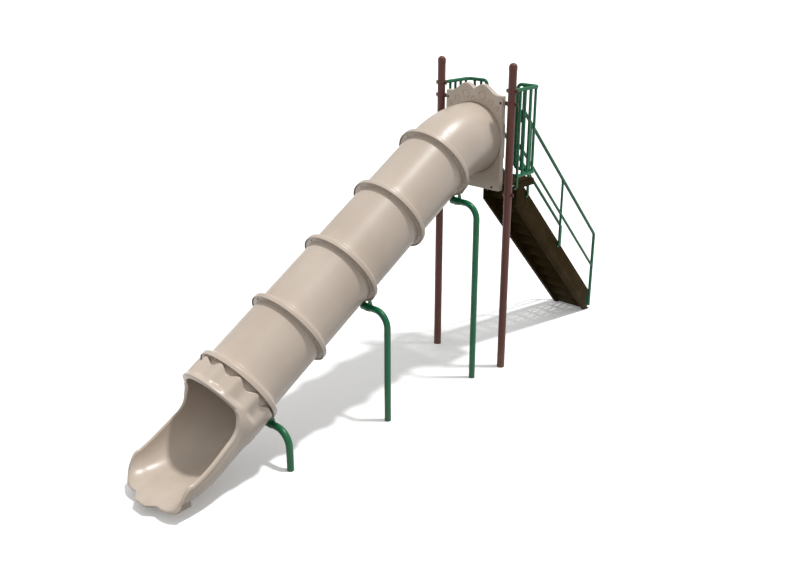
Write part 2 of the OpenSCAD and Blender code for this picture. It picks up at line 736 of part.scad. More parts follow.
// Open chute: rows first along the path, then spread out to the lobed mouth
chute_q = [for (i = [1 : 17]) lerp(hood_q, mouth_q, pow(i / 17, 1.25))];
mouth_u = [0.16, 0.32, 0.46, 0.58, 0.68, 0.77, 0.85, 0.91, 0.955, 0.985, 1];
function arc_to_rim(v, q) = (1 - abs(v)) * rim_angle(q) * (half_w(q) + half_h(q)) / 2 * PI / 180;
function flatness(q) = lerp(1, mouth_flatness, ease(taper(q)));
function chute_pt(v, q, outer) =
    section_pt(path_pt(q), path_up(q), half_w(q), half_h(q), v * rim_angle(q),
        outer ? edge_t(arc_to_rim(v, q), band_t(q), band_w(q)) : 0, flatness(q));
function mouth_y(v) = mouth_half_w * bend_power(sin(v * wall_angle), mouth_flatness);
function mouth_pt(v, u, outer) =
    let (psi = v * wall_angle, reach = mouth_reach(mouth_y(v)),
        q = mouth_q + reach * u, fall = sqrt(max(0, 1 - pow(u, 1.8))),
        h = max(0.05 * mouth_depth, mouth_depth * fall),
        b = (1 - u) * reach, a = arc_to_rim(v, mouth_q) * max(0.25, fall),
        d = min(a, b) * (1 - 0.2 * exp(-abs(a - b) / 30)),
        base = path_pt(q) - [0, 0, 6 * ease(1 - b / 90)])
    section_pt(base, [0, 0, 1], mouth_half_w, tube_wall + h, psi,
        outer ? edge_t(d, lerp(band_t(q), 30, ease(1 - b / 120)), lerp(58, 46, u)) : 0,
        mouth_flatness);
chute_out = concat([for (q = chute_q) [for (v = open_v) chute_pt(v, q, true)]],
    [for (u = mouth_u) [for (v = open_v) mouth_pt(v, u, true)]]);
chute_in = concat([for (q = chute_q) [for (v = open_v) chute_pt(v, q, false)]],
    [for (u = mouth_u) [for (v = open_v) mouth_pt(v, u, false)]]);

function flat_rows(rows) = [for (r = rows) each r];
// Faces between consecutive rows; closed rows wrap round. flip turns the faces.
function skin(start, rows, n, closed, flip) =
    [for (i = [0 : rows - 2]) for (j = [0 : n - (closed ? 1 : 2)])
        let (a = start + i * n + j, b = start + i * n + (j + 1) % n, c = a + n, d = b + n)
        each (flip ? [[a, d, b], [a, c, d]] : [[a, b, d], [a, d, c]])];
// Faces that join the open rows to the leading part of a closed row
function seam(row, start, n, flip) =
    [for (j = [0 : n - 2]) let (a = row + j, b = row + j + 1, c = start + j, d = start + j + 1)
        each (flip ? [[a, d, b], [a, c, d]] : [[a, b, d], [a, d, c]])];
function strip(p, q, flip) =
    [for (j = [0 : len(p) - 2])
        each (flip ? [[p[j], q[j + 1], p[j + 1]], [p[j], q[j], q[j + 1]]]
            : [[p[j], p[j + 1], q[j + 1]], [p[j], q[j + 1], q[j]]])];

module exit_chute() {
    rows_h = len(hood_rows);
    rows_c = len(chute_out);
    o_h = 0;
    i_h = rows_h * n_ring;
    o_c = i_h + 2 * n_ring;
    i_c = o_c + rows_c * n_open;
    last_o = (rows_h - 1) * n_ring;
    last_i = i_h + n_ring;
    points = concat(flat_rows(hood_rows), flat_rows(hood_in), flat_rows(chute_out), flat_rows(chute_in));
    top_edge = concat([for (j = [n_open - 1 : n_ring - 1]) j], [0]);
    faces = concat(
        skin(o_h, rows_h, n_ring, true, false),
        skin(i_h, 2, n_ring, true, true),
        seam(last_o, o_c, n_open, false),
        seam(last_i, i_c, n_open, true),
        skin(o_c, rows_c, n_open, false, false),
        skin(i_c, rows_c, n_open, false, true),
        strip([for (j = [0 : n_ring]) j % n_ring], [for (j = [0 : n_ring]) i_h + j % n_ring], true),
        strip([for (j = top_edge) last_o + j], [for (j = top_edge) last_i + j], false),
        strip(concat([last_o], [for (i = [0 : rows_c - 1]) o_c + i * n_open]),
            concat([last_i], [for (i = [0 : rows_c - 1]) i_c + i * n_open]), false),
        strip(concat([last_o + n_open - 1], [for (i = [1 : rows_c]) o_c + i * n_open - 1]),
            concat([last_i + n_open - 1], [for (i = [1 : rows_c]) i_c + i * n_open - 1]), true),
        strip([for (j = [0 : n_open - 1]) o_c + (rows_c - 1) * n_open + j],
            [for (j = [0 : n_open - 1]) i_c + (rows_c - 1) * n_open + j], false));
    place() color(tan_c) difference() {
        polyhedron(points = points, faces = faces, convexity = 6);
        on_slope(exit_s) joint_holes(-seat_depth - 1, -seat_depth + flange_t + 1);
    }
}

// Moulded foot that carries the mouth; its top follows the underside
foot_q0 = mouth_q - 88;
foot_q1 = mouth_q + 82;
foot_v = 0.46;
foot_n = 12;

module exit_foot() {
    rows = [for (i = [0 : 4]) let (q = lerp(foot_q0, foot_q1, i / 4))
        [for (j = [0 : foot_n]) let (v = foot_v * (2 * j / foot_n - 1),
            p = q < mouth_q ? chute_pt(v, q, true)
                : mouth_pt(v, (q - mouth_q) / mouth_reach(mouth_y(v)), true))
            p - [0, 0, slip]]];
    top = flat_rows(rows);
    n = foot_n + 1;
    base = [for (p = top) [lerp(p[0], path_pt((foot_q0 + foot_q1) / 2)[0], 0.06), p[1] * 1.04, 0]];
    m = 5 * n;
    ring = concat([for (j = [0 : foot_n]) j], [for (i = [1 : 4]) i * n + foot_n],
        [for (j = [foot_n - 1 : -1 : 0]) 4 * n + j], [for (i = [3 : -1 : 1]) i * n]);
    place() color(tan_c) polyhedron(points = concat(top, base), faces = concat(
        skin(0, 5, n, false, true), skin(m, 5, n, false, false),
        [for (k = [0 : len(ring) - 1]) let (a = ring[k], b = ring[(k + 1) % len(ring)])
            each [[a, b, b + m], [a, b + m, a + m]]]));
}

// Support legs. Each arm runs in under one joint, square to the slide.
leg_s = [joint_s[0] + 15, joint_s[2] + 15, joint_s[4] + 15];
arm_drop = bell_r + 6 + 5 + leg_r;
arm_end = 75;
sleeve_len = 110;
sleeve_wall = 6;
function arm_at(k) = axis_at(leg_s[k]) - arm_drop * up_n;

module leg(k) {
    p = arm_at(k);
    pts = [[p[0], -leg_y, 0], [p[0], -leg_y, p[2]], [p[0], -arm_end, p[2]]];
    place() color(rail_c) difference() {
        bent_rod(pts, leg_r, leg_bend_r);
        at_sleeve_bolt(k) translate([0, 0, -30]) cylinder(h = 40, r = 5.5, $fn = 24);
        bent_rod([pts[0] - [0, 0, 1], pts[1], pts[2] - [0, 8, 0]], leg_r - leg_wall, leg_bend_r);
    }
}

module leg_upper() {
    leg(0);
}

module leg_middle() {
    leg(1);
}

module leg_lower() {
    leg(2);
}

module at_strap_bolts(k) {
    on_slope(leg_s[k] - 15) for (a = [-1, 1])
        rotate([0, 0, 180 + a * (strap_angle - 5)])
            translate([bell_r + slip + strap_t, 0, -bell_len / 2 - 1]) rotate([0, 90, 0])
                children();
}

module at_sleeve_bolt(k) {
    p = arm_at(k);
    translate([p[0], -arm_end - 6 - sleeve_len / 2, p[2] - leg_r - slip - sleeve_wall])
        rotate([180, 0, 0]) children();
}

// Strap under a bell, with two webs down to the sleeve round the arm
module saddle(k) {
    s = leg_s[k] - 15;
    p = arm_at(k);
    r0 = bell_r + slip;
    mid = -bell_len / 2 - 1;
    sleeve_r = leg_r + slip + sleeve_wall;
    half = strap_w / 2 - 3;
    place() color(rail_c) {
        difference() {
            on_slope(s) rotate([0, 0, 180 - strap_angle]) translate([0, 0, mid - half])
                rotate_extrude(angle = 2 * strap_angle, $fn = 120)
                    translate([r0, 0]) square([strap_t, 2 * half]);
            at_strap_bolts(k) translate([0, 0, -20]) cylinder(h = 30, r = 5.5, $fn = 24);
        }
        difference() {
            union() {
                translate([p[0], -arm_end - 6, p[2]]) rotate([90, 0, 0])
                    cylinder(h = sleeve_len, r = sleeve_r, $fn = 48);
                for (y = [-arm_end - 9, -arm_end - sleeve_len + 4])
                    on_slope(s) translate([0, y, 0]) rotate([90, 0, 0]) linear_extrude(8)
                        let (top = -sqrt(pow(r0 + strap_t / 2, 2) - pow(y - 4, 2)))
                        polygon([[top, mid - half + 3], [-arm_drop - 12, 17 - sleeve_r],
                            [-arm_drop, 7 + sleeve_r], [top, mid + half - 3]]);
            }
            translate([p[0], 0, p[2]]) rotate([90, 0, 0])
                cylinder(h = 400, r = leg_r + slip, $fn = 48);
            at_sleeve_bolt(k) translate([0, 0, -30]) cylinder(h = 40, r = 5.5, $fn = 24);
        }
    }
}

module saddle_upper() {
    saddle(0);
}

module saddle_middle() {
    saddle(1);
}

module saddle_lower() {
    saddle(2);
}

module saddle_bolts() {
    place() color(bolt_c) for (k = [0, 1, 2]) {
        at_strap_bolts(k) hex_bolt(strap_t + 5, 5);
        at_sleeve_bolt(k) hex_bolt(sleeve_wall + 5, 5);
    }
}

// Stair
module stringer(side) {
    lip_w = 42;
    grow = stringer_t * sqrt(1 + stair_slope * stair_slope);
    x0 = stair_x + 2;
    low_cut = under_x(0);
    outline = [[x0, edge_z(x0)], [x0, edge_z(x0) - stringer_v], [low_cut, 0],
        [stringer_end, 0], [stringer_end, edge_z(stringer_end)]];
    inner = [[x0 - 5, edge_z(x0 - 5) - grow], [x0 - 5, edge_z(x0 - 5) - stringer_v + grow],
        [low_cut + 10, edge_z(low_cut + 10) - stringer_v + grow],
        [low_cut + 20, -5], [stringer_end + 5, -5], [stringer_end + 5, edge_z(stringer_end + 5) - grow]];
    place() color(deck_c) difference() {
        translate([0, side > 0 ? stair_w / 2 : -stair_w / 2 + lip_w, 0]) rotate([90, 0, 0]) difference() {
            linear_extrude(lip_w) polygon(outline);
            translate([0, 0, side > 0 ? stringer_t : -1]) linear_extrude(lip_w - stringer_t + 1)
                polygon(inner);
        }
        at_step_bolts(side) drill(4.5);
        at_upright_bolts(side) drill(4.5);
        at_bracket_bolts(side) drill(4.5);
    }
}

module stringer_left() {
    stringer(1);
}

module stringer_right() {
    stringer(-1);
}

// Folded steps: each tread has a turned down nose and a riser up to the next one
module stair_steps() {
    w = stair_w - 2 * stringer_t - 2 * slip;
    t = step_sheet;
    place() color(deck_c) translate([0, w / 2, 0]) rotate([90, 0, 0]) linear_extrude(w) {
        for (k = [1 : risers - 1]) {
            nose = nose_first + (k - 1) * step_run;
            z = deck_h - k * stair_rise;
            back = max(nose - step_run - 26, stair_x + 8);
            up = k == 1 ? deck_h - skirt_h - slip : z + stair_rise - t + 0.5;
            translate([back, z - t]) square([nose - back, t]);
            translate([nose - t, z - 38]) square([t, 38]);
            translate([nose - 22, z - 38]) square([22, t]);
            translate([back, z - t]) square([t, up - z + t]);
        }
    }
}

// Angle plates under the stair, with anchor holes in front of the stringers
module stair_foot_plates() {
    y0 = stair_w / 2 - 62;
    y1 = stair_w / 2 - stringer_t - slip;
    y2 = stair_w / 2;
    x0 = under_x(0) + 16;
    x1 = foot_end - foot_toe + slip;
    place() color(deck_c) for (side = [0, 1]) mirror([0, side, 0]) difference() {
        linear_extrude(8) polygon([[x0, y0], [foot_end, y0], [foot_end, y2], [x1, y2], [x1, y1], [x0, y1]]);
        at_anchors() translate([0, 0, -9]) cylinder(h = 10, r = 4.5, $fn = 24);
    }
}

module at_anchors() {
    for (x = [0, 1]) translate([foot_end - 22, stair_w / 2 - 16 - 30 * x, 8]) children();
}

// Bolt places on the outer face of a stringer: two to a step
module at_step_bolts(side) {
    for (k = [1 : risers - 1], dx = [48, 118])
        translate([nose_first + (k - 1) * step_run - dx, side * stair_w / 2,
            deck_h - k * stair_rise - 20])
            rotate([-90 * side, 0, 0]) children();
}

// Bolts through the flattened feet of the uprights and the foot brackets
module at_upright_bolts(side) {
    for (x = upright_x) translate([x, side * (stair_w / 2 + slip + 6), edge_z(x) - 62])
        rotate([-90 * side, 0, 0]) children();
}

module at_bracket_bolts(side) {
    for (z = [100, 250]) translate([stringer_end - 20, side * (stair_w / 2 + slip + 6), z])
        rotate([-90 * side, 0, 0]) children();
}

module drill(r) {
    translate([0, 0, -40]) cylinder(h = 60, r = r, $fn = 24);
}

module stair_bolts() {
    place() color(bolt_c) for (side = [-1, 1]) {
        at_step_bolts(side) dome_bolt(stringer_t, 4, 7);
        mirror([0, side > 0 ? 0 : 1, 0]) at_anchors() hex_bolt(7.5, 4);
    }
}

// Guard barriers: an L in plan, with its end bent down beside the stair opening
back_bars = [(post_y + rail_y + 45) / 2, rail_y + 45];

module barrier(side) {
    y = side * post_y;
    e = side * barrier_end_y;
    x0 = post_r + clamp_wall + slip;
    leg_x = leg_bar_x;
    place() color(rail_c) {
        bent_rod([[x0, y, barrier_top], [barrier_x, y, barrier_top],
            [barrier_x, e, barrier_top], [barrier_x, e, barrier_bottom],
            [barrier_x, y, barrier_bottom], [leg_x - bar_r - 4, y, barrier_bottom]], rail_r, 52);
        rod([leg_x, y, deck_h - 50], [leg_x, y, barrier_top], bar_r);
        for (x = [leg_x + 92 : 96 : barrier_x - 40])
            rod([x, y, barrier_bottom], [x, y, barrier_top], bar_r);
        for (b = back_bars)
            rod([barrier_x, side * b, barrier_bottom], [barrier_x, side * b, barrier_top], bar_r);
        at_barrier_feet(side) difference() {
            cylinder(h = foot_disc, r = bar_r + 6, $fn = 32);
            drill(4.5);
        }
        bent_rod([[barrier_x, side * back_leg_y, barrier_bottom],
            [barrier_x, side * back_leg_y, barrier_bottom - 34],
            [deck_rear + bar_r + 4, side * back_leg_y, barrier_bottom - 34],
            [deck_rear + bar_r + 4, side * back_leg_y, deck_h - 46]], bar_r, 18);
    }
}

module barrier_left() {
    barrier(1);
}

module barrier_right() {
    barrier(-1);
}

// Stair handrails
function rail_z(x) = edge_z(x) + handrail_h;
function mid_z(x) = edge_z(x) + mid_rail_h;
rail_front = stringer_end + 9;
plate_x = barrier_x + rail_r + slip;
grab_z = deck_h + handrail_h - 76;
upright_x = [lerp(stair_x, stringer_end, 0.113), lerp(stair_x, stringer_end, 0.532)];

module handrail(side) {
    y = side * rail_y;
    x_top = stair_x + (deck_h - edge_drop + handrail_h - grab_z) / stair_slope;
    place() color(rail_c) {
        bent_rod([[plate_x + 6, y, grab_z], [x_top, y, grab_z],
            [rail_front, y, rail_z(rail_front)], [rail_front, y, 58]], rail_r, 72);
        bent_rod([[plate_x + 6, y, mid_z(plate_x + 20)], [plate_x + 20, y, mid_z(plate_x + 20)],
            [rail_front, y, mid_z(rail_front)]], mid_rail_d / 2, 24);
        for (x = upright_x) {
            rod([x, y, edge_z(x) - 50], [x, y, rail_z(x)], bar_r);
        }
        at_upright_bolts(side) difference() {
            translate([0, 0, -6]) cylinder(h = 7, r = 17, $fn = 32);
            drill(4.5);
        }
    }
}

module handrail_left() {
    handrail(1);
}

module handrail_right() {
    handrail(-1);
}

module at_plate_bolts(side) {
    for (z = [grab_z - 95, grab_z - 20, mid_z(plate_x + 20) + 5])
        translate([plate_x + 6, side * back_bars[1], z]) rotate([0, 90, 0]) children();
}

// Plates between the barriers and the handrails, and the brackets at the foot
module handrail_plates() {
    place() color(rail_c) for (side = [-1, 1]) difference() {
        union() {
            translate([plate_x, side > 0 ? rail_y - 19 : -rail_y - 63, grab_z - 125]) cube([6, 82, 145]);
            translate([plate_x, side > 0 ? rail_y - 19 : -rail_y - 63, mid_z(plate_x + 20) - 32])
                cube([6, 82, 64]);
            translate([stringer_end - 34, side > 0 ? stair_w / 2 + slip : -stair_w / 2 - slip - 6, 58])
                cube([27, 6, 240]);
        }
        at_plate_bolts(side) drill(4.5);
        at_bracket_bolts(side) drill(4.5);
    }
}

module rail_bolts() {
    place() color(bolt_c) for (side = [-1, 1]) {
        at_plate_bolts(side) hex_bolt(6, 4);
        at_upright_bolts(side) translate([0, 0, 1]) dome_bolt(stringer_t + 7, 4, 8);
        at_bracket_bolts(side) dome_bolt(stringer_t + 6, 4, 8);
        at_barrier_feet(side) translate([0, 0, foot_disc]) dome_bolt(foot_disc + 6, 4, 8);
    }
}

post_left();
post_right();
post_caps();
rail_clamps();
panel_clamps();
deck_clamps();
clamp_bolts();
deck();
deck_bolts();
entrance_panel();
panel_brackets();
panel_bolts();
entrance_elbow();
tube_upper();
tube_second();
tube_third();
tube_lower();
exit_chute();
exit_foot();
joint_bolts_upper();
joint_bolts_second();
joint_bolts_third();
joint_bolts_fourth();
joint_bolts_exit();
entry_bolts();
leg_upper();
leg_middle();
leg_lower();
saddle_upper();
saddle_middle();
saddle_lower();
saddle_bolts();
stringer_left();
stringer_right();
stair_steps();
stair_foot_plates();
stair_bolts();
barrier_left();
barrier_right();
handrail_left();
handrail_right();
handrail_plates();
rail_bolts();
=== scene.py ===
"""Enclosed tube slide with its deck, entrance panel, stair and rails, dressed over its CAD model.

Sizes are in millimetres with the posts on x = 0, y across the slide and z up from the ground.
"""

import logging
import math
from dataclasses import dataclass, field
from enum import Enum
from typing import Sequence

import bmesh
import bpy
import numpy as np
from mathutils import Matrix, Vector


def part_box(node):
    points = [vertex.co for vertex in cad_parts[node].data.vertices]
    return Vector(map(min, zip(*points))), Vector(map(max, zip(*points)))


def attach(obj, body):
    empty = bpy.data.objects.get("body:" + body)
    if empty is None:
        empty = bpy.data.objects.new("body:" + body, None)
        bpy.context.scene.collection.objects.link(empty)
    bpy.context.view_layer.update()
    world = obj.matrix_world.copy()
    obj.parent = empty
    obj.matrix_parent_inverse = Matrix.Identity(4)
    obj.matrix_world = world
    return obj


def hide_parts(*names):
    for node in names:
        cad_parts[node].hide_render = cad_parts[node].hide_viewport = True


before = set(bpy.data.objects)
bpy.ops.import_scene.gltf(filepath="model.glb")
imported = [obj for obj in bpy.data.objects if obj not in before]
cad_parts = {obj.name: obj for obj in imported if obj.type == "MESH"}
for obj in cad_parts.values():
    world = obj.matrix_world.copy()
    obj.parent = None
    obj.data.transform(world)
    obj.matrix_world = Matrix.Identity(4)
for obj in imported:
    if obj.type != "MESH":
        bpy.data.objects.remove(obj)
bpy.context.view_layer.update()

log = logging.getLogger("tube_slide")
MM = 0.001
SLOPE = 31.28

Face = tuple[int, ...]
Pair = tuple[float, float]
Triple = tuple[float, float, float]
Outline = list[Pair]
Socket = bpy.types.NodeSocket
Mesh = bpy.types.Mesh


class Finish(Enum):
    """The finishes of the real pieces, each with its own material."""

    MOULDED_TAN = "moulded_tan"
    POST_BROWN = "post_brown"
    RAIL_GREEN = "rail_green"
    DECK_BROWN = "deck_brown"
    BOLT_STEEL = "bolt_steel"
    BOLT_DARK = "bolt_dark"


def linear(rgb: Sequence[float]) -> tuple[float, float, float, float]:
    """Turns an 8-bit screen colour into the linear colour that a shader takes.

    Args:
        rgb: Red, green and blue from 0 to 255.

    Returns:
        The linear colour with an alpha of one.
    """
    c = [v / 255.0 for v in rgb]
    lin = [v / 12.92 if v <= 0.04045 else ((v + 0.055) / 1.055) ** 2.4 for v in c]
    return (lin[0], lin[1], lin[2], 1.0)


def wire(tree: bpy.types.NodeTree, value: object, socket: Socket) -> None:
    """Links an input to a socket, or sets it to a value.

    Args:
        tree: The node tree.
        value: A socket of the tree or a plain value.
        socket: The input.
    """
    if isinstance(value, bpy.types.NodeSocket):
        tree.links.new(value, socket)
    else:
        socket.default_value = value


def add_node(tree: bpy.types.NodeTree, kind: str, **inputs: object) -> bpy.types.Node:
    """Adds a node and sets or links its inputs.

    Args:
        tree: The node tree.
        kind: Type of the node.
        inputs: Values or sockets by the input's name, with _ for a space.

    Returns:
        The node.
    """
    node = tree.nodes.new(kind)
    for key, value in inputs.items():
        wire(tree, value, node.inputs[key.replace("_", " ")])
    return node


class Shading:
    """The node tree of one material, with the steps that the finishes share."""

    def __init__(self, name: str) -> None:
        """Starts a material with a shader and object coordinates.

        Args:
            name: Name of the material.
        """
        self.material = bpy.data.materials.new(name)
        self.material.use_nodes = True
        self.tree = self.material.node_tree
        self.tree.nodes.clear()
        self.place = self.node("ShaderNodeTexCoord").outputs["Object"]
        self.shader = self.node("ShaderNodeBsdfPrincipled")
        self.node("ShaderNodeOutputMaterial", Surface=self.shader.outputs["BSDF"])

    def node(self, kind: str, **inputs: object) -> bpy.types.Node:
        """Adds a node with its inputs by name."""
        return add_node(self.tree, kind, **inputs)

    def noise(self, scale: float, detail: float, source: Socket) -> Socket:
        """One noise field of a scale and detail on a coordinate socket."""
        node = self.node("ShaderNodeTexNoise", Scale=scale, Detail=detail, Vector=source)
        return node.outputs["Fac"]

    def spread(self, fac: Socket, window: Pair, result: Pair) -> Socket:
        """Maps a field from one window of values to another.

        Args:
            fac: The field.
            window: Its values at either end.
            result: What these two values become.

        Returns:
            The mapped field.
        """
        node = self.node("ShaderNodeMapRange", Value=fac, From_Min=window[0], From_Max=window[1],
                         To_Min=result[0], To_Max=result[1])
        return node.outputs["Result"]

    def blend(self, fac: Socket, a: object, b: object) -> Socket:
        """Mixes two colours.

        Args:
            fac: How much of the second colour shows.
            a: First colour, a value or a socket.
            b: Second colour, a value or a socket.

        Returns:
            The mixed colour.
        """
        node = self.node("ShaderNodeMix")
        node.data_type = "RGBA"
        for index, value in ((0, fac), (6, a), (7, b)):
            wire(self.tree, value, node.inputs[index])
        return node.outputs[2]

    def combine(self, operation: str, a: Socket, b: Socket) -> Socket:
        """Joins two fields.

        Args:
            operation: ADD or MULTIPLY.
            a: First field.
            b: Second field.

        Returns:
            Their sum or product.
        """
        node = self.node("ShaderNodeMath")
        node.operation = operation
        for index, value in enumerate((a, b)):
            wire(self.tree, value, node.inputs[index])
        return node.outputs[0]


@dataclass(frozen=True)
class Grain:
    """How the noise fields of all finishes are cut into drift, flecks, dust with painted shade, and
    rub marks.
    """

    drift_detail: float = 4.0
    drift_window: Pair = (0.35, 0.68)
    gloss_window: Pair = (0.3, 0.7)
    fleck_detail: float = 2.0
    dark_window: Pair = (0.62, 0.72)
    light_window: Pair = (0.38, 0.28)
    dark_share: float = 0.72
    light_share: float = 1.22
    dust_and_shade_colour: Triple = (150, 138, 120)
    dust_and_shade_height: float = 0.5
    dust_and_shade_noise: Pair = (5.0, 5.0)
    dust_and_shade_window: Pair = (0.35, 0.65)
    dust_and_shade_patch: Pair = (0.25, 1.0)
    rub_turn: Triple = (0.0, math.radians(-SLOPE), 0.0)
    rub_stretch: Triple = (0.6, 26.0, 26.0)
    rub_noise: Pair = (1.0, 6.0)
    rub_window: Pair = (0.60, 0.78)
    smear_window: Pair = (0.55, 0.75)
    smear: float = 0.10
    relief_detail: float = 3.0
    coat_roughness: float = 0.25


GRAIN = Grain()


@dataclass(frozen=True)
class Coat:
    """One finish: its colour, how much that drifts, its gloss and its fine relief."""

    name: str
    slot: str
    colour: Triple
    shade: Triple
    drift_scale: float
    fleck_scale: float
    fleck: float
    roughness: float
    roughness_drift: float
    relief_scale: float
    relief: float
    relief_depth: float
    metallic: float = 0.0
    specular: float = 0.5
    coat: float = 0.0
    # Dust near the ground, which also paints shade on the low parts.
    dust_and_shade: float = 0.0
    rub: float = 0.0
    stretch: Triple = (1.0, 1.0, 1.0)

    def flecked(self, work: Shading, colour: Socket) -> Socket:
        """Strews fine dark and light flecks over a colour.

        Args:
            work: The material's tree.
            colour: The colour below.

        Returns:
            The flecked colour.
        """
        body = linear(self.colour)[:3]
        flecks = work.noise(self.fleck_scale, GRAIN.fleck_detail, work.place)
        light = tuple(min(1.0, c * GRAIN.light_share) for c in body) + (1.0,)
        dark = tuple(c * GRAIN.dark_share for c in body) + (1.0,)
        for window, tone in ((GRAIN.dark_window, dark), (GRAIN.light_window, light)):
            colour = work.blend(work.spread(flecks, window, (0.0, self.fleck)), colour, tone)
        return colour

    def dusty_and_shaded(self, work: Shading, colour: Socket) -> Socket:
        """Lays patchy dust and painted shade over a colour near the ground, darker towards the
        bottom.

        Args:
            work: The material's tree.
            colour: The colour below.

        Returns:
            The dusty colour.
        """
        axes = work.node("ShaderNodeSeparateXYZ", Vector=work.place)
        low = work.spread(axes.outputs["Z"], (0.0, GRAIN.dust_and_shade_height), (self.dust_and_shade, 0.0))
        patch = work.noise(*GRAIN.dust_and_shade_noise, work.place)
        dust_and_shade_mask = work.combine("MULTIPLY", low,
                           work.spread(patch, GRAIN.dust_and_shade_window, GRAIN.dust_and_shade_patch))
        return work.blend(dust_and_shade_mask, colour, linear(GRAIN.dust_and_shade_colour))

    def rubbed(self, work: Shading, colour: Socket, rough: Socket) -> tuple[Socket, Socket]:
        """Draws faint rub marks along the slope.

        Args:
            work: The material's tree.
            colour: The colour below.
            rough: The roughness below.

        Returns:
            The colour and the roughness with the marks.
        """
        lay = work.node("ShaderNodeMapping", Vector=work.place, Rotation=GRAIN.rub_turn,
                        Scale=GRAIN.rub_stretch)
        streak = work.noise(*GRAIN.rub_noise, lay.outputs["Vector"])
        colour = work.blend(work.spread(streak, GRAIN.rub_window, (0.0, self.rub)), colour,
                            linear(self.shade))
        smear = work.spread(streak, GRAIN.smear_window, (0.0, GRAIN.smear))
        return colour, work.combine("ADD", rough, smear)

    def build(self) -> bpy.types.Material:
        """Makes the material from noise on object coordinates.

        Returns:
            The finished material.
        """
        work = Shading(self.name)
        lay = work.node("ShaderNodeMapping", Vector=work.place, Scale=self.stretch)
        drift = work.noise(self.drift_scale, GRAIN.drift_detail, lay.outputs["Vector"])
        colour = work.blend(work.spread(drift, GRAIN.drift_window, (0.0, 1.0)),
                            linear(self.colour), linear(self.shade))
        if self.fleck > 0.0:
            colour = self.flecked(work, colour)
        # Darker towards the bottom: dust, and painted shade on the low parts.
        if self.dust_and_shade > 0.0:
            colour = self.dusty_and_shaded(work, colour)
        gloss = (self.roughness - self.roughness_drift, self.roughness + self.roughness_drift)
        rough = work.spread(drift, GRAIN.gloss_window, gloss)
        if self.rub > 0.0:
            colour, rough = self.rubbed(work, colour, rough)
        relief = work.node("ShaderNodeBump", Strength=self.relief, Distance=self.relief_depth,
                           Height=work.noise(self.relief_scale, GRAIN.relief_detail, work.place))
        for name, value in (
                ("Base Color", colour), ("Roughness", rough), ("Normal", relief.outputs["Normal"]),
                ("Metallic", self.metallic), ("Specular IOR Level", self.specular),
                ("Coat Weight", self.coat), ("Coat Roughness", GRAIN.coat_roughness)):
            wire(work.tree, value, work.shader.inputs[name])
        return work.material


COATS: dict[Finish, Coat] = {
    # The tan's dust is strong so that it also paints shade on the low exit.
    Finish.MOULDED_TAN: Coat(
        "moulded tan plastic", "moulded_tan", (197, 183, 169), (187, 172, 157), 1.7, 420.0, 0.10,
        0.33, 0.05, 260.0, 0.10, 0.0012, dust_and_shade=0.32, rub=0.22),
    Finish.POST_BROWN: Coat(
        "brown powder coat", "post_brown", (106, 62, 54), (94, 54, 46), 3.0, 700.0, 0.12,
        0.42, 0.05, 520.0, 0.16, 0.0006, specular=0.32, dust_and_shade=0.22, stretch=(1.0, 1.0, 0.3)),
    Finish.RAIL_GREEN: Coat(
        "green powder coat", "rail_green", (8, 108, 68), (6, 94, 58), 3.4, 700.0, 0.10,
        0.34, 0.05, 520.0, 0.16, 0.0006, specular=0.35, coat=0.05, dust_and_shade=0.15),
    Finish.DECK_BROWN: Coat(
        "brown vinyl dip", "deck_brown", (60, 47, 25), (51, 40, 20), 4.5, 520.0, 0.18,
        0.64, 0.07, 190.0, 0.30, 0.0015, specular=0.03, dust_and_shade=0.16),
    Finish.BOLT_STEEL: Coat(
        "plated steel", "bolt_steel", (206, 203, 194), (186, 182, 172), 22.0, 900.0, 0.2,
        0.38, 0.08, 800.0, 0.12, 0.0004, metallic=0.45),
    Finish.BOLT_DARK: Coat(
        "dark bolt steel", "bolt_steel", (64, 52, 47), (48, 38, 34), 24.0, 900.0, 0.2,
        0.40, 0.08, 800.0, 0.12, 0.0004, metallic=0.65),
}


def ease(t: np.ndarray | float) -> np.ndarray:
    """Smooth step from zero to one as t goes from zero to one."""
    u = np.clip(t, 0.0, 1.0)
    return u * u * (3.0 - 2.0 * u)


def lerp(a: object, b: object, t: object) -> np.ndarray:
    """Straight mix of a and b."""
    return np.asarray(a) + (np.asarray(b) - np.asarray(a)) * t


def arc(cx: float, cy: float, r: float, a0: float, a1: float, n: int) -> Outline:
    """Points of an arc from angle a0 to a1 in degrees, in n steps."""
    angles = [math.radians(a0 + (a1 - a0) * i / n) for i in range(n + 1)]
    return [(cx + r * math.cos(a), cy + r * math.sin(a)) for a in angles]


def sines(first: int, last: int, step: int) -> list[Pair]:
    """Sine and cosine of each angle from first to last, in degrees."""
    turns = [math.radians(t) for t in range(first, last + 1, step)]
    return [(math.sin(t), math.cos(t)) for t in turns]


def standing(place: Sequence[float], degrees: float, axis: str) -> Matrix:
    """Frame at a place, turned about one of the main axes."""
    return Matrix.Translation(place) @ Matrix.Rotation(math.radians(degrees), 4, axis)


def skin(rows: int, cols: int, start: int = 0, wrap_rows: bool = False, wrap_cols: bool = False
         ) -> list[Face]:
    """Quads between consecutive rows of points.

    Args:
        rows: Number of rows.
        cols: Number of points in a row.
        start: Index of the first point.
        wrap_rows: Whether the last row joins the first.
        wrap_cols: Whether each row closes on itself.

    Returns:
        The faces.
    """
    faces = []
    for i in range(rows if wrap_rows else rows - 1):
        for j in range(cols if wrap_cols else cols - 1):
            a, b = start + i * cols + j, start + i * cols + (j + 1) % cols
            k = ((i + 1) % rows) * cols
            faces.append((a, b, start + k + (j + 1) % cols, start + k + j))
    return faces


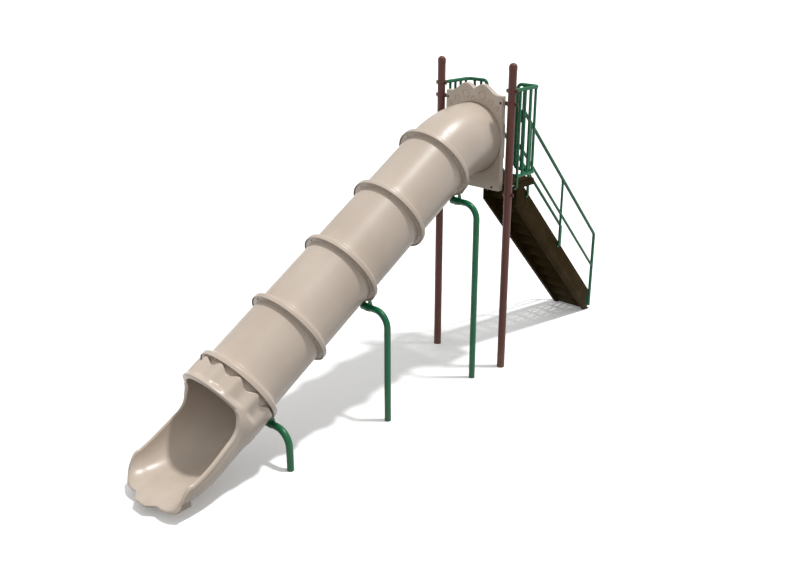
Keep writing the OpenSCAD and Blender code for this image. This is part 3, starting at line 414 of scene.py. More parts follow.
def bent_line(path: Sequence[Sequence[float]], bend: float) -> list[np.ndarray]:
    """Rounds the corners of a path.

    Args:
        path: Corner points.
        bend: Radius of each bend.

    Returns:
        Points along the rounded path.
    """
    pts = [np.array(p, float) for p in path]
    line: list[np.ndarray] = [pts[0]]
    for a, b, c in zip(pts, pts[1:], pts[2:]):
        u, v = (b - a) / np.linalg.norm(b - a), (c - b) / np.linalg.norm(c - b)
        angle = math.acos(float(np.clip(u @ v, -1, 1)))
        reach = bend * math.tan(angle / 2)
        centre = b + (v - u) / np.linalg.norm(v - u) * math.hypot(bend, reach)
        steps = max(6, int(math.degrees(angle) / 5))
        m = (b - u * reach) - centre
        for i in range(steps + 1):
            t = angle * i / steps
            line.append(centre + m * math.cos(t) + u * bend * math.sin(t))
    line.append(pts[-1])
    return line


def cross_frames(line: Sequence[np.ndarray]) -> list[tuple[np.ndarray, np.ndarray, np.ndarray]]:
    """Carries a pair of cross directions along a line without twist.

    Args:
        line: Points of the line.

    Returns:
        Each point with its two cross directions.
    """
    rows, side = [], None
    for i, p in enumerate(line):
        d = line[min(i + 1, len(line) - 1)] - line[max(i - 1, 0)]
        d = d / np.linalg.norm(d)
        if side is None:
            side = np.cross(d, [0.0, 0.0, 1.0] if abs(d[2]) < 0.9 else [1.0, 0.0, 0.0])
        side = side - (side @ d) * d
        side = side / np.linalg.norm(side)
        rows.append((p, side, np.cross(d, side)))
    return rows


@dataclass(frozen=True)
class Sizes:
    """Shared sizes of the slide in millimetres, with the posts on x = 0."""

    post_r: float = 44.45
    post_wall: float = 3.2
    post_y: float = 500.0
    post_top: float = 3551.0
    deck_h: float = 2214.0
    deck_front: float = 30.0
    deck_len: float = 485.0
    skirt_h: float = 77.0
    bore_r: float = 385.0
    tube_r: float = 393.0
    tube_wall: float = 8.0
    slope: float = SLOPE
    entry_h: float = 2694.0
    bend_r: float = 1000.0
    bell_r: float = 450.0
    bell_len: float = 58.0
    bell_wall: float = 9.0
    seat_depth: float = 22.0
    shoulder_r: float = 17.0
    flange_t: float = 14.0
    flange_play: float = 5.0
    bolt_circle_r: float = 413.0
    section_len: float = 822.0
    panel_t: float = 58.0
    panel_x: float = -3.0
    panel_edge: float = 8.0
    hole_play: float = 1.0
    elbow_run: float = 79.2
    elbow_tail: float = 3.0
    exit_h: float = 111.5
    run_out_r: float = 1500.0
    level_q: float = 323.0
    risers: int = 12
    stair_slope: float = 1.069
    stair_w: float = 500.0
    stringer_t: float = 4.0
    edge_drop: float = 24.0
    end_cut: float = 91.0
    first_tread: float = 138.0
    last_nose: float = 8.0
    rail_r: float = 16.0
    bar_r: float = 12.7
    bar_play: float = 3.0
    slip: float = 0.3

    @property
    def tilt(self) -> float:
        """Slope in radians."""
        return math.radians(self.slope)

    @property
    def down(self) -> np.ndarray:
        """Direction of the straight run."""
        return np.array([-math.cos(self.tilt), 0.0, -math.sin(self.tilt)])

    @property
    def up(self) -> np.ndarray:
        """Direction square to the straight run, on its upper side."""
        return np.array([-math.sin(self.tilt), 0.0, math.cos(self.tilt)])

    @property
    def elbow_t(self) -> float:
        """Distance from the elbow corner to either end of the bend."""
        return self.bend_r * math.tan(self.tilt / 2)

    @property
    def flange_r(self) -> float:
        """Radius of the spigot flanges inside the bells."""
        return self.bell_r - self.bell_wall - self.flange_play

    @property
    def hole_r(self) -> float:
        """Radius of the hole in the entrance panel."""
        return self.tube_r + self.hole_play

    @property
    def panel_front(self) -> float:
        """Front face of the entrance panel."""
        return self.panel_x - self.panel_t / 2

    @property
    def panel_rear(self) -> float:
        """Rear face of the entrance panel."""
        return self.panel_x + self.panel_t / 2

    @property
    def panel_half(self) -> float:
        """Half of the width of the panel."""
        return self.hole_r + self.panel_edge

    @property
    def corner(self) -> np.ndarray:
        """Where the level and the straight centre lines would meet."""
        return np.array([self.panel_front - self.elbow_run - self.elbow_t, 0.0, self.entry_h])

    @property
    def joints(self) -> list[float]:
        """Distances of the five joints from the corner.

        Returns:
            The distance of each joint, the highest first.
        """
        first = self.elbow_t + self.elbow_tail + self.bell_len + 2 * self.shoulder_r
        drop = self.tube_r * math.cos(self.tilt) + self.run_out_r * (1 - math.cos(self.tilt))
        last = (self.entry_h - drop - self.exit_h) / math.sin(self.tilt) - self.level_q
        return [first + i * self.section_len for i in range(4)] + [last]

    @property
    def deck_rear(self) -> float:
        """Rear edge of the deck, where the stair begins."""
        return self.deck_front + self.deck_len

    @property
    def deck_w(self) -> float:
        """Width of the deck."""
        return 2 * (self.post_y - self.bar_r - self.slip - self.bar_play)

    @property
    def step_half(self) -> float:
        """Half of the width of a step between the stringers."""
        return self.stair_w / 2 - self.stringer_t - self.slip

    @property
    def rail_y(self) -> float:
        """Distance of the handrails from the middle of the stair."""
        return self.stair_w / 2 + self.rail_r - 1

    @property
    def rise(self) -> float:
        """Height of one step."""
        return self.deck_h / self.risers

    @property
    def stair_end(self) -> float:
        """Front cut of the stringers."""
        run = (self.deck_h - self.edge_drop - self.rise) / self.stair_slope
        return self.deck_rear + run - self.end_cut

    @property
    def nose_first(self) -> float:
        """Nose of the highest tread."""
        return self.deck_rear + self.first_tread

    @property
    def step_run(self) -> float:
        """Distance from nose to nose."""
        return (self.stair_end - self.last_nose - self.nose_first) / (self.risers - 2)

    def axis(self, s: float) -> np.ndarray:
        """Point of the straight centre line at a distance s from the corner."""
        return self.corner + s * self.down

    def edge_z(self, x: float) -> float:
        """Height of the upper edge of the stringers."""
        return self.deck_h - self.edge_drop - self.stair_slope * (x - self.deck_rear)

    def on_slope(self, s: float) -> Matrix:
        """Frame on the straight run, with X up from the slide and Z down along it.

        Args:
            s: Distance from the corner.

        Returns:
            The frame.
        """
        p, u, d = self.axis(s), self.up, self.down
        rows = ((u[0], 0, d[0], p[0]), (0, -1, 0, p[1]), (u[2], 0, d[2], p[2]), (0, 0, 0, 1))
        return Matrix(rows)


@dataclass
class Tree:
    """A Geometry Nodes tree for a repeated or turned form, with named inputs."""

    name: str
    keys: dict[str, str] = field(default_factory=dict)

    def __post_init__(self) -> None:
        """Makes the empty tree with one geometry input and output."""
        self.group = bpy.data.node_groups.new(self.name, "GeometryNodeTree")
        for way in ("INPUT", "OUTPUT"):
            self.group.interface.new_socket("Geometry", in_out=way,
                                            socket_type="NodeSocketGeometry")
        self.start = self.group.nodes.new("NodeGroupInput")
        self.end = self.group.nodes.new("NodeGroupOutput")

    def given(self, name: str, kind: str, value: object = None) -> Socket:
        """Adds a named input.

        Args:
            name: Plain name of the input.
            kind: Socket type, such as Float or Int.
            value: Its value when nothing else is set.

        Returns:
            The socket inside the tree.
        """
        socket = self.group.interface.new_socket(name, in_out="INPUT",
                                                 socket_type="NodeSocket" + kind)
        if value is not None:
            socket.default_value = value
        self.keys[name] = socket.identifier
        return self.start.outputs[name]

    def node(self, kind: str, **inputs: object) -> bpy.types.Node:
        """Adds a node with its inputs by name."""
        return add_node(self.group, kind, **inputs)

    def spin(self) -> Socket:
        """Makes a random turn about Z from the Turn Spread and Seed inputs.

        Returns:
            The rotation of each copy.
        """
        spread = self.given("Turn Spread", "Float", 0.6)
        value = self.node("FunctionNodeRandomValue", Seed=self.given("Seed", "Int", 7))
        wire(self.group, spread, value.inputs[3])
        return self.node("ShaderNodeCombineXYZ", Z=value.outputs[1]).outputs[0]

    def scatter(self, points: Socket, item: Socket, **more: object) -> Socket:
        """Sets a copy of an object on each point.

        Args:
            points: The points.
            item: The object.
            more: Further inputs of the instancing node.

        Returns:
            The copies.
        """
        source = self.node("GeometryNodeObjectInfo", Object=item).outputs["Geometry"]
        placed = self.node("GeometryNodeInstanceOnPoints", Points=points, Instance=source, **more)
        return placed.outputs[0]

    def finish(self, geometry: Socket) -> "Tree":
        """Ends the tree in real geometry with the Finish input as its material.

        Args:
            geometry: What the tree has made.

        Returns:
            The tree.
        """
        coat = self.given("Finish", "Material")
        real = self.node("GeometryNodeRealizeInstances", Geometry=geometry)
        dressed = self.node("GeometryNodeSetMaterial", Geometry=real.outputs[0], Material=coat)
        self.group.links.new(dressed.outputs[0], self.end.inputs["Geometry"])
        return self

    def run(self, mesh: Mesh, **values: object) -> Mesh:
        """Runs the tree on a mesh.

        Args:
            mesh: What comes in.
            values: Input values by name, with _ for a space.

        Returns:
            The plain mesh that comes out.
        """
        carrier = bpy.data.objects.new("carrier", mesh)
        bpy.context.scene.collection.objects.link(carrier)
        modifier = carrier.modifiers.new(self.name, "NODES")
        modifier.node_group = self.group
        for key, value in values.items():
            modifier[self.keys[key.replace("_", " ")]] = value
        graph = bpy.context.evaluated_depsgraph_get()
        result = bpy.data.meshes.new_from_object(carrier.evaluated_get(graph), depsgraph=graph)
        carrier.modifiers.remove(modifier)
        bpy.data.objects.remove(carrier)
        return result


def turned_tree(reach: float) -> Tree:
    """Tree that turns a closed profile about the tube axis.

    Args:
        reach: Radius of the path that carries the profile.

    Returns:
        The tree.
    """
    tree = Tree("turned_section")
    segments = tree.given("Segments", "Int", 160)
    circle = tree.node("GeometryNodeCurvePrimitiveCircle", Resolution=segments, Radius=reach)
    outline = tree.node("GeometryNodeMeshToCurve", Mesh=tree.start.outputs["Geometry"])
    wall = tree.node("GeometryNodeCurveToMesh", Curve=circle.outputs[0],
                     Profile_Curve=outline.outputs[0])
    smooth = tree.node("GeometryNodeSetShadeSmooth", Geometry=wall.outputs[0])
    return tree.finish(smooth.outputs[0])


def bolt_ring_tree() -> Tree:
    """Tree that sets washers, nuts and bolt ends round a circle.

    Returns:
        The tree.
    """
    tree = Tree("bolt_ring")
    count = tree.given("Bolt Count", "Int", 12)
    radius = tree.given("Circle Radius", "Float", 413.0)
    bolt = tree.given("Bolt", "Object")
    circle = tree.node("GeometryNodeMeshCircle", Vertices=count, Radius=radius)
    return tree.finish(tree.scatter(circle.outputs[0], bolt, Rotation=tree.spin()))


def row_tree() -> Tree:
    """Tree that repeats one piece along a straight line.

    Returns:
        The tree.
    """
    tree = Tree("even_row")
    count = tree.given("Count", "Int", 4)
    start, step = tree.given("Start", "Vector"), tree.given("Step", "Vector")
    piece = tree.given("Piece", "Object")
    line = tree.node("GeometryNodeMeshLine", Count=count, Start_Location=start, Offset=step)
    return tree.finish(tree.scatter(line.outputs[0], piece))


def sheet_tree() -> Tree:
    """Tree that lays punched tiles edge to edge and merges them into a sheet.

    Returns:
        The tree.
    """
    tree = Tree("punched_sheet")
    wide, deep = (tree.given(name, "Float", 400.0) for name in ("Field Width", "Field Depth"))
    across, along = tree.given("Across", "Int", 8), tree.given("Along", "Int", 5)
    tile = tree.given("Tile", "Object")
    gap = tree.given("Merge Distance", "Float", 0.05)
    grid = tree.node("GeometryNodeMeshGrid", Size_X=wide, Size_Y=deep, Vertices_X=across,
                     Vertices_Y=along)
    real = tree.node("GeometryNodeRealizeInstances", Geometry=tree.scatter(grid.outputs[0], tile))
    whole = tree.node("GeometryNodeMergeByDistance", Geometry=real.outputs[0], Distance=gap)
    return tree.finish(whole.outputs[0])


def opened(*meshes: Mesh) -> bmesh.types.BMesh:
    """Loads meshes for editing.

    Args:
        meshes: Any number of meshes.

    Returns:
        Their geometry, to be closed after use.
    """
    work = bmesh.new()
    for mesh in meshes:
        work.from_mesh(mesh)
    return work


def closed(work: bmesh.types.BMesh, mesh: Mesh) -> Mesh:
    """Writes edited geometry into a mesh.

    Args:
        work: The geometry, which is freed.
        mesh: The mesh that takes it.

    Returns:
        The mesh.
    """
    work.to_mesh(mesh)
    work.free()
    return mesh


class Bench:
    """Turns points in millimetres into finished pieces that ride with the model."""

    REACH = 1000.0
    BEVEL_STEPS = 3
    BEVEL_FROM = 50.0

    def __init__(self, sizes: Sizes) -> None:
        """Reads where the posts stand and makes the materials and the shared trees.

        Args:
            sizes: Shared sizes of the slide.
        """
        self.sizes = sizes
        low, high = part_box("post_left")
        self.shift = Matrix.Translation(((low[0] + high[0]) / 2, 0.0, 0.0)) @ Matrix.Scale(MM, 4)
        self.coats = {finish: coat.build() for finish, coat in COATS.items()}
        self.turned, self.bolt_ring = turned_tree(self.REACH), bolt_ring_tree()
        self.row, self.sheet = row_tree(), sheet_tree()

    def mesh(self, points: object, faces: Sequence[Face] = (), edges: Sequence[Face] = ()) -> Mesh:
        """Makes a raw mesh.

        Args:
            points: Its points in millimetres.
            faces: Faces as point numbers.
            edges: Loose edges as point numbers.

        Returns:
            The mesh.
        """
        mesh = bpy.data.meshes.new("draft")
        mesh.from_pydata([tuple(map(float, p)) for p in points], list(edges), list(faces))
        return mesh

    def repeat(self, tree: Tree, item: Mesh, key: str, finish: Finish, **values: object) -> Mesh:
        """Runs a tree that repeats one item.

        Args:
            tree: The tree.
            item: Mesh of the item.
            key: Name of the tree's input that takes the item.
            finish: Finish of the copies.
            values: The tree's other inputs by name.

        Returns:
            The mesh of all copies.
        """
        proto = bpy.data.objects.new(item.name, item)
        values |= {key: proto, "Finish": self.coats[finish]}
        mesh = tree.run(self.mesh([(0, 0, 0)]), **values)
        bpy.data.objects.remove(proto)
        return mesh

    def turn(self, outline: Outline, place: Matrix, finish: Finish, segments: int = 160) -> Mesh:
        """Turns a closed outline about the Z axis of a frame.

        Args:
            outline: Pairs of radius and height.
            place: The frame.
            finish: Its finish.
            segments: Points round the axis.

        Returns:
            The turned mesh.
        """
        n = len(outline)
        profile = self.mesh([(r - self.REACH, -z, 0.0) for r, z in outline],
                            edges=[(i, (i + 1) % n) for i in range(n)])
        mesh = self.turned.run(profile, Segments=segments, Finish=self.coats[finish])
        mesh.transform(place)
        return mesh

    def lathe(self, outline: Outline, place: Matrix, segments: int = 32) -> Mesh:
        """Turns an outline whose ends may lie on the axis, for small solid pieces.

        Args:
            outline: Pairs of radius and height.
            place: The frame whose Z axis it turns about.
            segments: Points round the axis.

        Returns:
            The turned mesh.
        """
        turns = [2 * math.pi * i / segments for i in range(segments)]
        points = [(r * math.cos(t), r * math.sin(t), z) for r, z in outline for t in turns]
        mesh = self.mesh(points, skin(len(outline), segments, wrap_cols=True))
        mesh.transform(place)
        return mesh

    def tube(self, path: Sequence[Sequence[float]], radius: float, bend: float = 0.0,
             sides: int = 28, bore: float = 0.0) -> Mesh:
        """Makes a round bar along a path of corner points.

        Args:
            path: Corner points.
            radius: Outer radius.
            bend: Centre line radius of each bend.
            sides: Points round the bar.
            bore: Inner radius, or zero for closed ends.

        Returns:
            The mesh, with its caps.
        """
        rows = cross_frames(bent_line(path, bend))
        angles = 2 * np.pi * np.arange(sides) / sides
        points = [p + radius * (math.cos(a) * side + math.sin(a) * other)
                  for p, side, other in rows for a in angles]
        if bore > 0.0:
            points += [p + bore * (math.cos(a) * side + math.sin(a) * other)
                       for p, side, other in reversed(rows) for a in angles]
            faces = skin(2 * len(rows), sides, wrap_rows=True, wrap_cols=True)
        else:
            faces = skin(len(rows), sides, wrap_cols=True)
            faces += [tuple(range(sides)), tuple(range(len(points) - sides, len(points)))]
        return self.mesh(points, faces)

    def join(self, meshes: Sequence[Mesh]) -> Mesh:
        """Puts several meshes into one."""
        return closed(opened(*meshes), self.mesh([]))

    def thicken(self, item: bpy.types.Object, solid: float, bevel: float) -> None:
        """Gives a sheet its thickness and rounds steep edges, as a plain mesh.

        Args:
            item: The object.
            solid: Thickness given to an open sheet, or zero.
            bevel: Width of rounded edges, or zero.
        """
        if solid:
            wall = item.modifiers.new("thickness", "SOLIDIFY")
            wall.thickness = solid
            wall.offset = -1.0
            wall.use_even_offset = True
        if bevel:
            edge = item.modifiers.new("edges", "BEVEL")
            edge.width = bevel
            edge.segments = self.BEVEL_STEPS
            edge.limit_method = "ANGLE"
            edge.angle_limit = math.radians(self.BEVEL_FROM)
        if solid or bevel:
            graph = bpy.context.evaluated_depsgraph_get()
            final = bpy.data.meshes.new_from_object(item.evaluated_get(graph), depsgraph=graph)
            item.modifiers.clear()
            item.data = final
            final.name = item.name

    def piece(self, name: str, mesh: Mesh, finish: Finish, nodes: Sequence[str] = (),
              merge: float = 0.02, sharp: float = 38.0, recalc: bool = True, bevel: float = 0.0,
              solid: float = 0.0) -> None:
        """Finishes a mesh given in millimetres and puts it on the model.

        Args:
            name: Name of the piece.
            mesh: Its mesh in the working frame.
            finish: Which finish it takes.
            nodes: CAD nodes that it stands for.
            merge: Distance below which points are joined.
            sharp: Edges steeper than this stay crisp, in degrees.
            recalc: Whether faces are turned outwards.
            bevel: Width of rounded edges.
            solid: Thickness given to an open sheet.
        """
        work = opened(mesh)
        bmesh.ops.remove_doubles(work, verts=work.verts, dist=merge)
        bmesh.ops.dissolve_degenerate(work, edges=work.edges, dist=merge)
        if recalc:
            bmesh.ops.recalc_face_normals(work, faces=work.faces)
        item = bpy.data.objects.new(name, closed(work, bpy.data.meshes.new(name)))
        bpy.context.scene.collection.objects.link(item)
        self.thicken(item, solid, bevel)
        item.data.transform(self.shift)
        item.data.materials.clear()
        item.data.materials.append(self.coats[finish])
        item.data.polygons.foreach_set("material_index", [0] * len(item.data.polygons))
        item.data.shade_smooth()
        item.data.set_sharp_from_angle(angle=math.radians(sharp))
        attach(item, "root")
        if nodes:
            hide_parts(*nodes)
        log.info("made %s: %d faces", name, len(item.data.polygons))

    def soften(self, node: str, finish: Finish, bevel: float = 1.6, merge: float = 0.01,
               flat: float = 0.6) -> None:
        """Stands a copy of a CAD node with merged points and rounded edges in its place.

        Args:
            node: Name of the node.
            finish: Its finish.
            bevel: Width of the rounded edges in millimetres.
            merge: Distance below which points are joined.
            flat: Faces that bend less than this become one, in degrees.
        """
        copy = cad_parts[node].data.copy()
        copy.transform(self.shift.inverted())
        work = opened(copy)
        bmesh.ops.remove_doubles(work, verts=work.verts, dist=merge)
        bmesh.ops.dissolve_limit(work, angle_limit=math.radians(flat), verts=work.verts,
                                 edges=work.edges)
        self.piece(f"{node}_formed", closed(work, copy), finish, [node], bevel=bevel, recalc=False)

    def dress(self, node: str, finish: Finish) -> None:
        """Gives a CAD node that stays a better material.

        Args:
            node: Name of the node.
            finish: Its finish.
        """
        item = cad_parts[node]
        if not item.material_slots:
            item.data.materials.append(self.coats[finish])
        for slot in item.material_slots:
            slot.material = self.coats[finish]
        log.info("dressed %s", node)


@dataclass
class Assembly:
    """A group of pieces that one maker builds on the bench."""

    bench: Bench

    @property
    def sizes(self) -> Sizes:
        """Shared sizes of the slide."""
        return self.bench.sizes


@dataclass
class Posts(Assembly):
    """The two round posts with their domed caps and the ring clamps on them."""

    cap_wall: float = 1.8
    cap_skirt: float = 38.0
    cap_floor: float = 8.0
    post_sides: int = 96
    cap_sides: int = 72

    def cap(self) -> Outline:
        """Outline of a cap from its inner floor over its skirt to the top of the dome.

        Returns:
            Pairs of radius and height.
        """
        z = self.sizes
        fit, out = z.post_r + z.slip, z.post_r + z.slip + self.cap_wall
        base = z.post_top - z.post_r
        foot = base - self.cap_skirt
        dome = [(out * c, base + z.post_r * s) for s, c in sines(0, 90, 6)]
        return [(0.0, base - self.cap_floor), (fit, base - self.cap_floor), (fit, foot),
                (out - 0.6, foot), (out, foot + 0.8)] + dome

    def build(self) -> None:
        """Makes the posts, caps and clamps."""
        z = self.sizes
        top = z.post_top - z.post_r - self.cap_floor - z.slip
        bore = z.post_r - z.post_wall
        wall = [(bore, 0.0), (z.post_r, 0.0)] + [(z.post_r, top * i / 8) for i in range(1, 9)]
        for side, name in ((1, "post_left"), (-1, "post_right")):
            place = Matrix.Translation((0.0, side * z.post_y, 0.0))
            mesh = self.bench.turn(wall + [(bore, top)], place, Finish.POST_BROWN, self.post_sides)
            self.bench.piece(f"{name}_tube", mesh, Finish.POST_BROWN, [name])
        caps = [self.bench.lathe(self.cap(), Matrix.Translation((0.0, side * z.post_y, 0.0)),
                                 self.cap_sides) for side in (-1, 1)]
        self.bench.piece("post_cap_domes", self.bench.join(caps), Finish.POST_BROWN, ["post_caps"])
        for node in ("rail_clamps", "panel_clamps", "deck_clamps", "panel_brackets"):
            self.bench.soften(node, Finish.POST_BROWN, 1.2)
        self.bench.dress("clamp_bolts", Finish.BOLT_DARK)


@dataclass
class TubeRun(Assembly):
    """The entrance elbow and the four straight sections with their bells and bolts."""

    segments: int = 176
    lip_r: float = 4.0
    bell_round: float = 22.0
    rim_round: float = 2.0
    seat_round: float = 3.0
    flange_round: float = 2.0
    fillet: float = 8.0
    collar_t: float = 13.0
    collar_edge: float = 3.0
    joint_nuts: int = 12

    def bell(self, end: float) -> Outline:
        """Outline of the bell at the lower end of a section.

        Args:
            end: Distance of its rim from the start of the section.

        Returns:
            Pairs of radius and distance, from the shoulder over the rim to the seat.
        """
        z = self.sizes
        back, seat = end - z.bell_len, end - z.seat_depth
        inner, swell = z.bell_r - z.bell_wall, self.bell_round
        return (arc(z.tube_r + z.shoulder_r, back - 2 * z.shoulder_r, z.shoulder_r, 180, 90, 8)
                + arc(z.bell_r - swell, back + swell, swell, -90, 0, 12)
                + arc(z.bell_r - self.lip_r, end - self.lip_r, self.lip_r, 0, 90, 6)
                + arc(inner + self.rim_round, end - self.rim_round, self.rim_round, 90, 180, 4)
                + [(inner, seat + self.seat_round)]
                + arc(inner - self.seat_round, seat + self.seat_round, self.seat_round, 0, -90, 3)
                + [(z.bore_r + 2, seat)])

    def section(self, length: float) -> Outline:
        """Closed outline of a straight section between two joints.

        Args:
            length: Distance between the joints.

        Returns:
            Pairs of radius and distance from its own start.
        """
        z = self.sizes
        r, fillet = self.flange_round, self.fillet
        top, edge = -z.seat_depth, z.flange_r - r
        return ([(z.bore_r, top + 1), (z.bore_r + 1, top), (edge, top)]
                + arc(edge, top + r, r, -90, 0, 3) + arc(edge, top + z.flange_t - r, r, 0, 90, 3)
                + arc(z.tube_r + fillet, top + z.flange_t + fillet, fillet, -90, -180, 6)
                + [(z.tube_r, top + 60 + (length - 190) * i / 8) for i in range(9)]
                + self.bell(length) + [(z.bore_r, length - z.seat_depth - 2)]
                + [(z.bore_r, length - 60 - (length - 100) * i / 6) for i in range(7)])

    def elbow(self) -> Mesh:
        """Wall of the elbow, ring by ring along its bent centre line.

        Returns:
            The mesh, with its flange cut to the width of the panel.
        """
        z = self.sizes
        start = z.panel_rear + self.collar_t
        level = start - (z.corner[0] + z.elbow_t)
        bend = z.bend_r * z.tilt
        end = level + bend + z.joints[0] - z.elbow_t
        rim, limit = z.bell_r - self.collar_t, z.panel_half - self.collar_edge
        wall = [(z.bore_r, 0.0), (rim, 0.0), (rim + 1, 1.0), (rim + 1, 11.0), (rim, 12.0)]
        wall += arc(z.tube_r + 6, 18, 6, -90, -180, 4)
        wall += [(z.tube_r, t) for t in np.arange(40.0, level + bend - 5, 12.0)]
        wall += self.bell(end)
        wall += [(z.bore_r, t) for t in np.arange(end - z.seat_depth - 2, 8.0, -14.0)]
        pivot = np.array([start - level, 0.0, z.entry_h - z.bend_r])
        points = []
        for r, t in wall:
            if t <= level:
                centre, up = np.array([start - t, 0.0, z.entry_h]), np.array([0.0, 0.0, 1.0])
            else:
                a = min(t - level, bend) / z.bend_r
                up = np.array([-math.sin(a), 0.0, math.cos(a)])
                centre = pivot + z.bend_r * up + max(0.0, t - level - bend) * z.down
            for i in range(self.segments):
                f = 2 * math.pi * i / self.segments
                p = centre + r * math.cos(f) * up + np.array([0.0, r * math.sin(f), 0.0])
                if t < self.collar_t:
                    p[1] = float(np.clip(p[1], -limit, limit))
                points.append(p)
        return self.bench.mesh(points, skin(len(wall), self.segments, wrap_rows=True,
                                            wrap_cols=True))

    def nut(self) -> Mesh:
        """Washer, nut and bolt end, standing on z = 0.

        Returns:
            The mesh of the three.
        """
        washer = [(0, -0.5), (11.2, -0.5), (11.4, 0.0), (11.4, 2.0), (10.8, 2.5), (0, 2.5)]
        hexagon = [(0, 2.4), (8.4, 2.4), (9.0, 3.0), (9.0, 8.6), (8.2, 9.2), (0, 9.2)]
        stud = [(0, 9.0), (4.7, 9.0), (4.7, 11.6), (3.9, 12.4), (0, 12.4)]
        return self.bench.join([self.bench.lathe(outline, Matrix(), sides)
                                for outline, sides in ((washer, 20), (hexagon, 6), (stud, 12))])

    def bolts(self) -> None:
        """Makes the nuts in the recess of each joint and dresses the bolts behind the panel."""
        z = self.sizes
        names = ("upper", "second", "third", "fourth", "exit")
        for seed, (name, s) in enumerate(zip(names, z.joints), start=3):
            mesh = self.bench.repeat(
                self.bench.bolt_ring, self.nut(), "Bolt", Finish.BOLT_STEEL,
                Bolt_Count=self.joint_nuts, Circle_Radius=z.bolt_circle_r, Seed=seed)
            mesh.transform(z.on_slope(s) @ Matrix.Translation((0, 0, z.flange_t - z.seat_depth)))
            self.bench.piece(f"joint_nuts_{name}", mesh, Finish.BOLT_STEEL, [f"joint_bolts_{name}"],
                             recalc=False)
        self.bench.dress("entry_bolts", Finish.BOLT_STEEL)

    def build(self) -> None:
        """Makes the elbow, the sections and their bolts."""
        z = self.sizes
        self.bench.piece("elbow_moulding", self.elbow(), Finish.MOULDED_TAN, ["entrance_elbow"])
        names = ("tube_upper", "tube_second", "tube_third", "tube_lower")
        for name, a, b in zip(names, z.joints, z.joints[1:]):
            mesh = self.bench.turn(self.section(b - a), z.on_slope(a), Finish.MOULDED_TAN,
                                   self.segments)
            self.bench.piece(f"{name}_moulding", mesh, Finish.MOULDED_TAN, [name])
        self.bolts()


